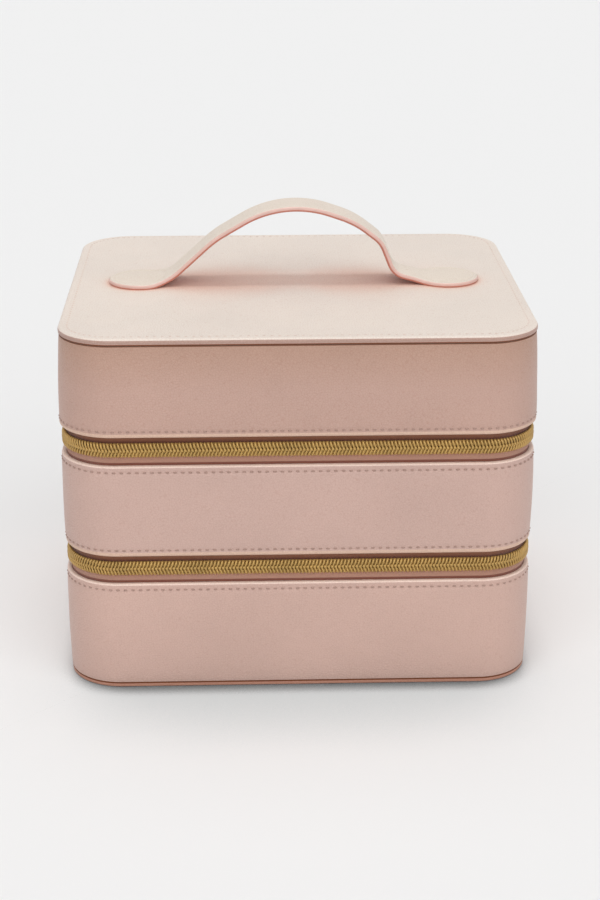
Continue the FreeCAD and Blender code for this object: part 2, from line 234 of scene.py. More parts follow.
# ---- mesh helpers --------------------------------------------------------------------------------------
def new_piece(name, verts, faces, body, replaces=(), uvs=None, materials=(), face_slots=None):
    """A smooth-shaded mesh that rides on a body."""
    mesh = bpy.data.meshes.new(name)
    mesh.from_pydata([tuple(v) for v in verts], [], faces)
    mesh.validate()
    if uvs:
        layer = mesh.uv_layers.new(name="UVMap")
        flat = [number for loop in mesh.loops for number in uvs[loop.vertex_index]]
        layer.data.foreach_set("uv", flat)
    for material in materials:
        mesh.materials.append(material)
    if face_slots:
        mesh.polygons.foreach_set("material_index", face_slots)
    mesh.shade_smooth()
    obj = bpy.data.objects.new(name, mesh)
    bpy.context.scene.collection.objects.link(obj)
    if body:
        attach(obj, body)
    if replaces:
        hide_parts(*replaces)
    return obj


def sweep(profile, places, closed, swell=None):
    """Vertices, faces and flat coordinates of a closed profile of (inset, z) carried along the plan.

    The ends of an open sweep are closed by strips from the profile's outside, its first half, to its inside.
    """
    verts, uvs = [], []
    rows = len(profile)
    girth = [0.0]
    for (i0, z0), (i1, z1) in zip(profile, profile[1:]):
        girth.append(girth[-1] + math.hypot(i1 - i0, z1 - z0))
    for s in places:
        for (inset, z), g in zip(profile, girth):
            out = swell(s, inset, z) if swell else 0.0
            x, y, nx, ny = PLAN.at(s, inset)
            verts.append((x + nx * out, y + ny * out, z))
            uvs.append((s, g))
    faces = []
    count = len(places)
    for i in range(count if closed else count - 1):
        j = (i + 1) % count
        for k in range(rows):
            m = (k + 1) % rows
            faces.append((i * rows + k, i * rows + m, j * rows + m, j * rows + k))
    if not closed:
        last = (count - 1) * rows
        for k in range(rows // 2 - 1):
            far = rows - 1 - k
            faces.append((k, far, far - 1, k + 1))
            faces.append((last + k, last + k + 1, last + far - 1, last + far))
    return verts, faces, uvs


STRIP_STEP = 2.5 * MM       # from one row of a tape's or hinge strip's mesh to the next


def thin_strip(cad_node, rows, start, end):
    """The sweep of a flat strip as high as its node, between two places of the plan."""
    low, high = node_box(cad_node)
    z = [low.z + (high.z - low.z) * i / rows for i in range(rows + 1)]
    profile = [(TAPE_OUT, v) for v in z] + [(TAPE_IN, v) for v in reversed(z)]
    return sweep(profile, PLAN.run(start, end, STRIP_STEP), False)


def tube(points, starts, radius, sides):
    """Round wire through points. starts gives, for each point, the direction that its ring starts from."""
    verts, faces = [], []
    count = len(points)
    for i, p in enumerate(points):
        along = (points[min(i + 1, count - 1)] - points[max(i - 1, 0)]).normalized()
        first = (starts[i] - along * starts[i].dot(along)).normalized()
        second = along.cross(first)
        for k in range(sides):
            turn = 2 * math.pi * k / sides
            verts.append(p + first * (radius * math.cos(turn)) + second * (radius * math.sin(turn)))
    for i in range(count - 1):
        for k in range(sides):
            m = (k + 1) % sides
            faces.append((i * sides + k, i * sides + m, (i + 1) * sides + m, (i + 1) * sides + k))
    faces.append(tuple(range(sides))[::-1])
    faces.append(tuple((count - 1) * sides + k for k in range(sides)))
    return verts, faces


def thicken(verts, points, sides, shares):
    """Scales each ring of a tube about its point, by its own share."""
    for i, (p, share) in enumerate(zip(points, shares)):
        for k in range(i * sides, (i + 1) * sides):
            verts[k] = p + (verts[k] - p) * share


def gather(parts):
    """One vertex and face list from several."""
    verts, faces = [], []
    for v, f in parts:
        base = len(verts)
        verts.extend(v)
        faces.extend(tuple(base + i for i in face) for face in f)
    return verts, faces


def clean(obj, distance=0.02 * MM):
    """Welds points that fall together and drops faces without area."""
    weld = obj.modifiers.new("Weld", "WELD")
    weld.merge_threshold = distance
    with bpy.context.temp_override(object=obj, active_object=obj, selected_objects=[obj]):
        bpy.ops.object.modifier_apply(modifier=weld.name)


def bell(distance, width):
    """1 at no distance, falling smoothly to almost nothing at twice the width."""
    return math.exp(-(distance / width) ** 2)


def quarter_arc(steps):
    """(1 - cos, sin) at even steps from 0 to a right angle."""
    turns = [math.pi / 2 * k / steps for k in range(steps + 1)]
    return [(1 - math.cos(turn), math.sin(turn)) for turn in turns]


def eased(t):
    """From 0 to 1 with a slow start and end."""
    return t * t * (3 - 2 * t)


BROAD_LEVEL, BROAD_UP = 22, 34          # swells of glued leather in a metre, level and upwards
NARROW_LEVEL, NARROW_UP = 60, 80
NARROW_SHARE = 0.5


def slow_waves(x, y, z, seed):
    """Uneven swell of glued leather, between about -1 and 1."""
    broad = noise.noise(Vector((x * BROAD_LEVEL + seed, y * BROAD_LEVEL, z * BROAD_UP)))
    narrow = noise.noise(Vector((x * NARROW_LEVEL, y * NARROW_LEVEL + seed, z * NARROW_UP)))
    return broad + NARROW_SHARE * narrow


# ---- stitches ------------------------------------------------------------------------------------------
STITCH_SIDES = 6
STITCH_SLANT = 0.06         # how far a stitch leans out of its row, for each length along it
# Along a stitch: share of its length from its middle, then its lift and its thickness in thread radii.
STITCH_SHAPE = ((-0.5, -1.5, 0.55), (-0.42, -0.2, 0.95), (-0.2, 0.35, 1.0),
                (0.2, 0.35, 1.0), (0.42, -0.2, 0.95), (0.5, -1.5, 0.55))


def stitch(middle, along, out, length, radius):
    """One stitch: a capsule of thread that dives into the leather at both ends."""
    points = [middle + along * (share * length) + out * (lift * radius) for share, lift, _ in STITCH_SHAPE]
    verts, faces = tube(points, [out] * len(points), radius, STITCH_SIDES)
    thicken(verts, points, STITCH_SIDES, [thick for _, _, thick in STITCH_SHAPE])
    return verts, faces


def row_of_stitches(name, stitch_places, body, material, radius):
    """Stitches along a line. stitch_places yields (point, direction along, direction out)."""
    parts = [stitch(p, along, out, sizes().stitch_length, radius) for p, along, out in stitch_places]
    verts, faces = gather(parts)
    return new_piece(name, verts, faces, body, materials=(material,))


def ring_places(plan, inset, z, lying=False):
    """Evenly spaced stitch places round a plan, on a wall or lying flat."""
    count = round(plan.length / sizes().stitch_pitch)
    up = Vector((0, 0, 1))
    for i in range(count):
        x, y, nx, ny = plan.at(plan.length * (i + 0.5) / count, inset)
        outward = Vector((nx, ny, 0))
        out, lean = (up, outward) if lying else (outward, up)
        along = (Vector((ny, -nx, 0)) + lean * STITCH_SLANT).normalized()
        yield Vector((x, y, z)), along, out


# ---- shader helpers ------------------------------------------------------------------------------------
MIX_FACTOR, MIX_A, MIX_B, MIX_OUT = 0, 6, 7, 2     # sockets of a Mix node for colours
NOISE_LOW, NOISE_HIGH = 0.3, 0.7                   # where most of a noise texture lies
AIR_SAMPLES = 8                                    # rays that feel for what stands near a surface


def node(tree, kind, links=(), inputs=(), **properties):
    """A node with its properties set, (source socket, input) links made and (input, value) inputs set."""
    made = tree.nodes.new(kind)
    for key, value in properties.items():
        setattr(made, key, value)
    for source, target in links:
        tree.links.new(source, made.inputs[target])
    for target, value in inputs:
        made.inputs[target].default_value = value
    return made


def combined(tree, operation, a, b):
    """A Math node's result. Each of a and b is a number or a socket."""
    made = node(tree, "ShaderNodeMath", operation=operation)
    for target, value in zip(made.inputs, (a, b)):
        if isinstance(value, float):
            target.default_value = value
        else:
            tree.links.new(value, target)
    return made.outputs[0]


def mapped(tree, value, low, high, to_low=0.0, to_high=1.0):
    """The value, with the range from low to high stretched to the range from to_low to to_high."""
    made = node(tree, "ShaderNodeMapRange", links=((value, "Value"),),
                inputs=(("From Min", low), ("From Max", high), ("To Min", to_low), ("To Max", to_high)))
    return made.outputs["Result"]


def tinted(tree, mask, low, high):
    """Colour between two tones, by a mask."""
    mix = node(tree, "ShaderNodeMix", data_type="RGBA", links=((mask, MIX_FACTOR),),
               inputs=((MIX_A, (*low, 1.0)), (MIX_B, (*high, 1.0))))
    return mix.outputs[MIX_OUT]


def laid_over(tree, under, mask, tone, blend_type="MULTIPLY"):
    """The colour under, blended with a tone where the mask is whole."""
    mix = node(tree, "ShaderNodeMix", data_type="RGBA", blend_type=blend_type,
               links=((under, MIX_A), (mask, MIX_FACTOR)), inputs=((MIX_B, (*tone, 1.0)),))
    return mix.outputs[MIX_OUT]


def height_of(tree, coords):
    """The second of a mesh's flat coordinates, which runs across its strip."""
    return node(tree, "ShaderNodeSeparateXYZ", links=((coords.outputs["UV"], "Vector"),)).outputs["Y"]


def bump(tree, shader, height, distance):
    made = node(tree, "ShaderNodeBump", links=((height, "Height"),), inputs=(("Distance", distance),))
    tree.links.new(made.outputs["Normal"], shader.inputs["Normal"])


def scaled(tone, share):
    return tuple(min(1.0, channel * share) for channel in tone)


# ---- shader groups -------------------------------------------------------------------------------------
def group(name, inputs, outputs):
    """A new shader group with its input and output nodes. Kinds are Float and Vector."""
    tree = bpy.data.node_groups.new(name, "ShaderNodeTree")
    for label, kind, default in inputs:
        socket = tree.interface.new_socket(label, in_out="INPUT", socket_type=f"NodeSocket{kind}")
        if default is not None:
            socket.default_value = default
    for label in outputs:
        tree.interface.new_socket(label, in_out="OUTPUT", socket_type="NodeSocketFloat")
    return tree, tree.nodes.new("NodeGroupInput"), tree.nodes.new("NodeGroupOutput")


def pebble_group():
    """Rounded pebbles with fine creases between them, as on a pressed leather grain."""
    tree, given, out = group("Pebble grain", (("Vector", "Vector", None), ("Scale", "Float", 850.0)),
                             ("Height", "Crease"))
    place = given.outputs["Vector"]
    bend = 1.1 * MM
    dome_edge, crease_edge = 0.28, 0.09     # in cells, from the line between two pebbles
    roundness = 0.55
    dome_share, pore_share = 0.8, 0.25
    wobble = node(tree, "ShaderNodeTexNoise", links=((place, "Vector"),), inputs=(("Scale", 420.0),))
    bent = node(tree, "ShaderNodeVectorMath", operation="MULTIPLY_ADD",
                links=((wobble.outputs["Color"], 0), (place, 2)), inputs=((1, (bend, bend, bend)),))
    cells = node(tree, "ShaderNodeTexVoronoi", feature="DISTANCE_TO_EDGE",
                 links=((bent.outputs[0], "Vector"), (given.outputs["Scale"], "Scale")),
                 inputs=(("Randomness", 0.9),))
    from_edge = cells.outputs["Distance"]
    dome = combined(tree, "POWER", mapped(tree, from_edge, 0.0, dome_edge), roundness)
    pores = node(tree, "ShaderNodeTexNoise", links=((place, "Vector"),),
                 inputs=(("Scale", 2600.0), ("Detail", 3.0)))
    height = combined(tree, "ADD", combined(tree, "MULTIPLY", dome, dome_share),
                      combined(tree, "MULTIPLY", pores.outputs["Fac"], pore_share))
    tree.links.new(height, out.inputs["Height"])
    tree.links.new(mapped(tree, from_edge, 0.0, crease_edge, 1.0, 0.0), out.inputs["Crease"])
    return tree


def mottle_group():
    """Slow, cloudy change over a surface, from 0 to 1."""
    tree, given, out = group("Mottle", (("Vector", "Vector", None), ("Scale", "Float", 18.0)), ("Value",))
    clouds = node(tree, "ShaderNodeTexNoise",
                  links=((given.outputs["Vector"], "Vector"), (given.outputs["Scale"], "Scale")),
                  inputs=(("Detail", 4.0), ("Roughness", 0.6)))
    tree.links.new(mapped(tree, clouds.outputs["Fac"], NOISE_LOW, NOISE_HIGH), out.inputs["Value"])
    return tree


def twill_group():
    """Slanting ribs of a woven tape, from lengths along and across it."""
    tree, given, out = group("Twill", (("UV", "Vector", None), ("Scale", "Float", 1900.0)), ("Height",))
    rib_share, cross_share = 0.7, 0.3
    slant = node(tree, "ShaderNodeVectorRotate", rotation_type="Z_AXIS",
                 links=((given.outputs["UV"], "Vector"),), inputs=(("Angle", math.radians(38)),))
    ribs = node(tree, "ShaderNodeTexWave", bands_direction="X",
                links=((slant.outputs[0], "Vector"), (given.outputs["Scale"], "Scale")),
                inputs=(("Distortion", 0.6),))
    cross = node(tree, "ShaderNodeTexWave", bands_direction="Y",
                 links=((given.outputs["UV"], "Vector"), (given.outputs["Scale"], "Scale")))
    height = combined(tree, "ADD", combined(tree, "MULTIPLY", ribs.outputs["Fac"], rib_share),
                      combined(tree, "MULTIPLY", cross.outputs["Fac"], cross_share))
    tree.links.new(height, out.inputs["Height"])
    return tree


def nap_group():
    """Short brushed nap of suede: fine fibres and the lighter and darker strokes left in them."""
    tree, given, out = group("Nap", (("Vector", "Vector", None),), ("Height", "Stroke"))
    links = ((given.outputs["Vector"], "Vector"),)
    fibre = node(tree, "ShaderNodeTexNoise", links, inputs=(("Scale", 2200.0), ("Detail", 4.0)))
    stroke = node(tree, "ShaderNodeTexNoise", links, inputs=(("Scale", 30.0), ("Distortion", 1.5)))
    tree.links.new(fibre.outputs["Fac"], out.inputs["Height"])
    against, along = 0.35, 0.65     # the noise where the nap lies wholly against and along the brush
    tree.links.new(mapped(tree, stroke.outputs["Fac"], against, along), out.inputs["Stroke"])
    return tree


# Shared groups and, further on, materials are made once, when first asked for.
GROUP_MAKERS = {"pebble": pebble_group, "mottle": mottle_group, "twill": twill_group, "nap": nap_group}
GROUPS = {}


def use(tree, name, source, **values):
    """Places a shared group, built once, with its first input linked and the others set."""
    if name not in GROUPS:
        GROUPS[name] = GROUP_MAKERS[name]()
    return node(tree, "ShaderNodeGroup", node_tree=GROUPS[name], links=((source, 0),), inputs=values.items())


# ---- materials -----------------------------------------------------------------------------------------
def new_material(name, roughness=0.5, metallic=0.0):
    """A material with its tree, its shader and its texture coordinates."""
    material = bpy.data.materials.new(name)
    material.use_nodes = True
    tree = material.node_tree
    shader = tree.nodes["Principled BSDF"]
    shader.inputs["Roughness"].default_value = roughness
    shader.inputs["Metallic"].default_value = metallic
    return material, tree, shader, node(tree, "ShaderNodeTexCoord")


def mottling(tree, coords, scale):
    """The shared mottling over a material's own surface."""
    return use(tree, "mottle", coords.outputs["Object"], Scale=scale).outputs["Value"]


CREASE_TINT = (0.80, 0.68, 0.64)        # of a crease between two pebbles, at CREASE_SHARE of its strength
CREASE_SHARE = 0.45
LID_TOP_SHADE_TINT = (0.89, 0.84, 0.76)        # painted shade: a browner tone towards a band's upper edge
UPPER_SHADE_START, UPPER_SHADE_END = 22 * MM, 46 * MM     # up a band's outside, from its lower edge
STRAP_SHADOW_TINT = (0.97, 0.77, 0.70)       # painted shadow: a warmer, darker tone of the top panel under its strap
UNDER_STRAP = 43 * MM                   # how far from the strap the panel takes that tint
STRAP_SHUT, STRAP_OPEN = 0.76, 0.97     # share of open air over the panel where the tint is whole and gone
SMOOTH, ROUGH = 0.43, 0.52              # least and greatest roughness of the leather's clouds
CREASE_ROUGH = 0.15                     # added to it in the creases
SHEEN_SHARE = 0.35                      # of the leather's gloss


def leather_material(name, tone, depth=0.14 * MM, gloss=0.42, upper_shade=False, strap_shadow=False):
    """Pebbled leather: domed grain, darker creases, slow mottling in tone and gloss.

    Painted shade: a band browner towards its upper edge, and the panel warmer and darker under its strap.
    """
    material, tree, shader, coords = new_material(name)
    pebble = use(tree, "pebble", coords.outputs["Object"], Scale=1.0 / sizes().pebble)
    cloud = mottling(tree, coords, scale=16.0)
    crease = pebble.outputs["Crease"]
    dark, light = scaled(tone, 0.955), scaled(tone, 1.03)
    outside = laid_over(tree, tinted(tree, cloud, dark, light),
                        combined(tree, "MULTIPLY", crease, CREASE_SHARE), CREASE_TINT)
    # painted shade: browner up the band's outside
    if upper_shade:
        upper_shade_mask = mapped(tree, height_of(tree, coords), UPPER_SHADE_START, UPPER_SHADE_END)
        outside = laid_over(tree, outside, upper_shade_mask, LID_TOP_SHADE_TINT)
    # painted shadow of the strap: warmer and darker where little open air is over the panel
    if strap_shadow:
        air = node(tree, "ShaderNodeAmbientOcclusion", samples=AIR_SAMPLES,
                   inputs=(("Distance", UNDER_STRAP),))
        under = mapped(tree, air.outputs["AO"], STRAP_SHUT, STRAP_OPEN, 1.0, 0.0)
        outside = laid_over(tree, outside, under, STRAP_SHADOW_TINT)
    tree.links.new(outside, shader.inputs["Base Color"])
    rough = combined(tree, "ADD", mapped(tree, cloud, 0.0, 1.0, SMOOTH, ROUGH),
                     combined(tree, "MULTIPLY", crease, CREASE_ROUGH))
    tree.links.new(rough, shader.inputs["Roughness"])
    bump(tree, shader, pebble.outputs["Height"], depth)
    shader.inputs["Specular IOR Level"].default_value = gloss
    shader.inputs["Sheen Weight"].default_value = gloss * SHEEN_SHARE
    shader.inputs["Sheen Roughness"].default_value = 0.4
    return material


def mottled_material(name, tone, shade, scale, depth, roughness):
    """A layer laid on or pressed unevenly: its mottling shows in its tone and in its surface."""
    material, tree, shader, coords = new_material(name, roughness)
    cloud = mottling(tree, coords, scale)
    tree.links.new(tinted(tree, cloud, scaled(tone, shade), tone), shader.inputs["Base Color"])
    bump(tree, shader, cloud, depth)
    return material


def thread_material(name, tone):
    """Waxed, twisted thread."""
    material, tree, shader, coords = new_material(name, roughness=0.6)
    strands = node(tree, "ShaderNodeTexWave", bands_direction="DIAGONAL",
                   links=((coords.outputs["Object"], "Vector"),), inputs=(("Scale", 900.0),))
    twist = strands.outputs["Fac"]
    between = scaled(tone, 0.75)
    tree.links.new(tinted(tree, twist, between, tone), shader.inputs["Base Color"])
    bump(tree, shader, twist, 0.05 * MM)
    return material


def gold_material(name, tone, roughness, metallic=1.0):
    """Gold finish: bright, with faint tarnish clouds and fine rub marks."""
    material, tree, shader, coords = new_material(name, roughness, metallic)
    cloud = mottling(tree, coords, scale=90.0)
    tarnish = scaled(tone, 0.82)
    tree.links.new(tinted(tree, cloud, tarnish, tone), shader.inputs["Base Color"])
    rubs = node(tree, "ShaderNodeTexNoise", links=((coords.outputs["Object"], "Vector"),),
                inputs=(("Scale", 1400.0),))
    marks = rubs.outputs["Fac"]
    polished, dulled = roughness - 0.06, roughness + 0.1
    tree.links.new(mapped(tree, marks, NOISE_LOW, NOISE_HIGH, polished, dulled), shader.inputs["Roughness"])
    bump(tree, shader, marks, 0.01 * MM)
    return material


TAPE_RIM_SHADE = 0.4 * MM        # painted shade: the dark line of a tape where it goes under its rim
TAPE_SHADE = 2.2 * MM       # from the rim to where a tape's painted shade next to its coil comes on
TAPE_SEAT = 3.3 * MM        # from the rim to where a tape is hidden by its coil
RIM_SHADE_TINT = (0.46, 0.28, 0.24)
SEAT_PAINTED_LIGHT = 1.7             # a tape behind its coil is this much brighter than the coil: a gold seat, lit up as painted light in the gaps
BEFORE, BEYOND = 0.6, 1.4   # a rim shade or coil shade, both painted, comes on between these shares of its place
SEAT_BEYOND = 1.1           # and the seat, more sharply, by this


def tape_material(name, tone, coil_shade):
    """Woven zip tape: painted shade under its rim and by its coil, painted light in gold behind the coil."""
    material, tree, shader, coords = new_material(name, roughness=0.85)
    weave = use(tree, "twill", coords.outputs["UV"]).outputs["Height"]
    hollow = scaled(tone, 0.72)
    woven = tinted(tree, weave, hollow, tone)
    across = height_of(tree, coords)
    under_rim = mapped(tree, across, TAPE_RIM_SHADE * BEFORE, TAPE_RIM_SHADE * BEYOND, 1.0, 0.0)
    coil_shade_mask = mapped(tree, across, TAPE_SHADE * BEFORE, TAPE_SHADE * BEYOND)
    behind = mapped(tree, across, TAPE_SEAT, TAPE_SEAT * SEAT_BEYOND)
    # painted shade where the tape goes under its rim, then next to its coil
    rim_shaded = laid_over(tree, woven, under_rim, RIM_SHADE_TINT)
    shaded = laid_over(tree, rim_shaded, coil_shade_mask, coil_shade)
    # painted light: the gold seat behind the coil, brighter than the coil
    seat_lightened = laid_over(tree, shaded, behind, scaled(colours().coil, SEAT_PAINTED_LIGHT), "MIX")
    tree.links.new(seat_lightened, shader.inputs["Base Color"])
    bump(tree, shader, weave, 0.12 * MM)
    shader.inputs["Sheen Weight"].default_value = 0.2
    return material


def suede_material(name, tone):
    """Short-napped suede with brushed strokes."""
    material, tree, shader, coords = new_material(name, roughness=0.92)
    nap = use(tree, "nap", coords.outputs["Object"])
    brushed = scaled(tone, 0.86)
    tree.links.new(tinted(tree, nap.outputs["Stroke"], brushed, tone), shader.inputs["Base Color"])
    bump(tree, shader, nap.outputs["Height"], 0.15 * MM)
    shader.inputs["Sheen Weight"].default_value = 0.4
    return material


def mirror_material():
    """Silvered glass with the faintest haze."""
    material, tree, shader, coords = new_material("Mirror glass", roughness=0.02, metallic=1.0)
    cloud = mottling(tree, coords, scale=25.0)
    hazy, silvered = (0.86, 0.88, 0.89), (0.9, 0.92, 0.93)
    clearest, haziest = 0.015, 0.035
    tree.links.new(tinted(tree, cloud, hazy, silvered), shader.inputs["Base Color"])
    tree.links.new(mapped(tree, cloud, 0.0, 1.0, clearest, haziest), shader.inputs["Roughness"])
    return material


MATERIAL_MAKERS = {
    "cover_leather": lambda tones: leather_material("Base leather", tones.leather),
    "middle_leather": lambda tones: leather_material("Middle leather", tones.middle_leather),
    # the lid band: darker than the other bands and browner towards its top, both painted shade
    "lid_leather": lambda tones: leather_material("Lid shaded leather", tones.lid_leather, upper_shade=True),
    # the top panel's side: the lid leather darkened further, as painted shade
    "panel_side_shade_leather": lambda tones: leather_material("Panel side shade", scaled(tones.lid_leather, 0.86)),
    # painted highlights on the zips' upper and lower rims
    "upper_rim_highlight_leather": lambda tones: leather_material("Upper rim highlight leather", tones.upper_rim_highlight),
    "lower_rim_highlight_leather": lambda tones: leather_material("Lower rim highlight leather", tones.lower_rim_highlight),
    "strap_backing": lambda tones: leather_material("Strap backing", tones.backing),
    # the top panel, with a painted shadow under its strap
    "panel_leather": lambda tones: leather_material("Panel leather", tones.panel, depth=0.08 * MM,
                                                    strap_shadow=True),
    "welt_leather": lambda tones: leather_material("Welt leather", tones.welt),
    # painted shade in the seam grooves
    "seam_shade_leather": lambda tones: leather_material("Seam shade leather", tones.crease, gloss=0.05),
    "handle_leather": lambda tones: leather_material("Handle leather", tones.handle, depth=0.06 * MM),
    "hinge_leather": lambda tones: leather_material("Hinge leather", scaled(tones.leather, 0.85)),
    "edge_paint": lambda tones: mottled_material("Edge paint", tones.edge_paint, shade=0.9, scale=160.0,
                                                 depth=0.08 * MM, roughness=0.42),
    "fibre_board": lambda tones: mottled_material("Pressed board", tones.board, shade=0.7, scale=240.0,
                                                  depth=0.1 * MM, roughness=0.85),
    "thread": lambda tones: thread_material("Sewing thread", tones.thread),
    "panel_thread": lambda tones: thread_material("Panel thread", tones.panel_thread),
    "zip_gold": lambda tones: gold_material("Gold slider", tones.gold, roughness=0.2),
    "coil_gold": lambda tones: gold_material("Gold coil", tones.coil, roughness=0.42, metallic=0.35),
    "rivet_metal": lambda tones: gold_material("Gold rivet", tones.gold, roughness=0.24),
    # painted shade next to the coil, deepest on the upper tape
    "zip_tape": lambda tones: tape_material("Zip tape", tones.tape, coil_shade=(0.95, 0.90, 0.88)),
    "upper_tape": lambda tones: tape_material("Upper tape", tones.upper_tape, coil_shade=(0.42, 0.25, 0.16)),
    "suede_lining": lambda tones: suede_material("Suede lining", tones.suede),
    "mirror_glass": lambda tones: mirror_material(),
}
MATERIALS = {}


def finish(name):
    """The material of that name, made the first time it is asked for."""
    if name not in MATERIALS:
        MATERIALS[name] = MATERIAL_MAKERS[name](colours())
    return MATERIALS[name]


EASING_STEPS = 3
SHARP = math.radians(40)    # edges that turn by more than this are eased


def dress(node_name, material, easing=0.0):
    """Gives a CAD piece its finish, and eases its edges."""
    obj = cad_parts[node_name]
    obj.data.materials.clear()
    obj.data.materials.append(finish(material))
    if easing:
        rounding = obj.modifiers.new("Eased edges", "BEVEL")
        rounding.width = easing
        rounding.segments = EASING_STEPS
        rounding.limit_method = "ANGLE"
        rounding.angle_limit = SHARP
        obj.data.shade_smooth()
        obj.modifiers.new("Flat faces", "WEIGHTED_NORMAL")


# ---- leather bands -------------------------------------------------------------------------------------
RIM_CORNER = 1.1 * MM       # rounding of a band's edge where it is turned in at a zip
CUT_CORNER = 0.45 * MM      # the same where it is cut against a panel
INNER_CORNER = 0.3 * MM     # the same on the inside of a band
CORNER_STEPS = 5
SEAM_GAP = 0.1 * MM         # open groove between the lid's band and the top panel
FOOT_COVER = 0.15 * MM      # how much of the base panel the base's band covers
RIM_DROP = 0.9 * MM         # leather stops this far below its tier's upper rim
LIP_RISE = 0.1 * MM         # and this far above its lower rim
BAND_ROWS = 44
STITCH_DIP = 0.34 * MM      # how far a row of stitches pulls the leather in
STITCH_DIP_WIDTH = 0.55 * MM
THREAD_RISE = 0.45          # the middle of the thread above the dipped leather, in its radii
PUFF_ROUNDNESS = 0.55       # under 1, the leather swells early and stays flat between
CALM_EDGE = 6 * MM          # the uneven swell fades over this height towards an edge
# Finishes of a band's faces, in the order of its materials after its own leather.
# The seam faces carry painted shade, and the rim faces painted highlights.
SEAM_SHADE_FACES, UPPER_RIM_HIGHLIGHT_FACES, LOWER_RIM_HIGHLIGHT_FACES = 1, 2, 3


def band_surface(low, high, hem_low, hem_high):
    """How far the leather stands out at height z: it swells between seams and dips at the stitches."""
    size = sizes()
    start = low + (size.stitch_inset if hem_low else 0.0)
    end = high - (size.stitch_inset if hem_high else 0.0)
    rows = [z for z, hemmed in ((start, hem_low), (end, hem_high)) if hemmed]

    def out(z):
        t = min(1.0, max(0.0, (z - start) / (end - start)))
        swell = size.puff * (math.sin(math.pi * t) ** PUFF_ROUNDNESS if 0 < t < 1 else 0.0)
        return swell - sum(STITCH_DIP * bell(z - row, STITCH_DIP_WIDTH) for row in rows)
    return out


def rolled_edge(inner, z, upwards, corner):
    """A band's edge, from its outside at z over to its inside, with a rounded corner at each."""
    arc = quarter_arc(CORNER_STEPS)[1:]
    top = z + upwards * (corner - INNER_CORNER)
    return [(corner * off, z + upwards * corner * rise) for off, rise in arc] + [
        (inner - INNER_CORNER * off, top + upwards * INNER_CORNER * rise) for off, rise in reversed(arc)]


def band_profile(low, high, hem_low, hem_high):
    """Closed section of a leather band, up its outside and down its inside, and the finish of each strip."""
    in_low, r_low = (TAPE_OUT, RIM_CORNER) if hem_low else (COVER_T, CUT_CORNER)
    in_high, r_high = (TAPE_OUT, RIM_CORNER) if hem_high else (COVER_T, CUT_CORNER)
    start, end = low + r_low, high - r_high
    outer = [(0.0, start + (end - start) * i / BAND_ROWS) for i in range(BAND_ROWS + 1)]
    top = rolled_edge(in_high, end, 1, r_high)
    inner = [(in_high, end)]
    if hem_high:
        inner += [(in_high, high - HEM_HEIGHT), (COVER_T, high - HEM_HEIGHT)]
    if hem_low:
        inner += [(COVER_T, low + HEM_HEIGHT), (in_low, low + HEM_HEIGHT)]
    inner.append((in_low, start))
    bottom = rolled_edge(in_low, start, -1, r_low)[::-1]
    # painted highlights on a zip's rims, painted shade on a cut edge in its seam
    upper = UPPER_RIM_HIGHLIGHT_FACES if hem_high else SEAM_SHADE_FACES
    lower = LOWER_RIM_HIGHLIGHT_FACES if hem_low else SEAM_SHADE_FACES
    slots = [lower if hem_low else 0] + [0] * (len(outer) - 1) + [upper] * len(top) + [0] * (len(inner) - 1)
    slots += [lower] * (len(bottom) + 1)
    return outer + top + inner + bottom, slots


def leather_band(name, cad_node, body, hems, seed, lean, leather):
    """One tier's leather.

    hems says whether its lower and its upper edge is turned in at a zip, and lean how far its outside stands
    out at each.
    """
    size = sizes()
    hem_low, hem_high = hems
    low, high = (corner.z for corner in node_box(cad_node))
    low += LIP_RISE if hem_low else -FOOT_COVER
    high -= RIM_DROP if hem_high else SEAM_GAP
    surface = band_surface(low, high, hem_low, hem_high)

    def leaned(z):
        return lean[0] + (lean[1] - lean[0]) * (z - low) / (high - low)

    def swell(s, inset, z):
        x, y, _, _ = PLAN.at(s)
        calm = min(1.0, min(z - low, high - z) / CALM_EDGE)
        out = leaned(z) + surface(z) + size.waviness * calm * slow_waves(x, y, z, seed)
        return max(0.0, 1 - inset / COVER_T) * out

    profile, slots = band_profile(low, high, hem_low, hem_high)
    places = PLAN.closed(round(PLAN.length / size.station))
    verts, faces, uvs = sweep(profile, places, True, swell)
    new_piece(name, verts, faces, body, (cad_node,), uvs,
              [finish(each) for each in (leather, "seam_shade_leather", "upper_rim_highlight_leather", "lower_rim_highlight_leather")],
              slots * len(places))
    rows = ((hem_low, low + size.stitch_inset, "lower"), (hem_high, high - size.stitch_inset, "upper"))
    for hemmed, z, label in rows:
        if hemmed:
            inset = STITCH_DIP - size.thread * THREAD_RISE - leaned(z)
            row_of_stitches(f"{name}_{label}_stitches", ring_places(PLAN, inset, z), body, finish("thread"),
                            size.thread)


# ---- flat panels ---------------------------------------------------------------------------------------
LOW_STEPS, TOP_STEPS = 6, 8     # faces round a panel's lower and upper edge
SEAM_SHADE_STRIPS = 5               # of them, painted shade of the seam under the top panel
SIDE_STRIPS = 5                 # and its side, above the seam
BASE_STRIPS = LOW_STEPS + 2     # side of the base panel, below its seam
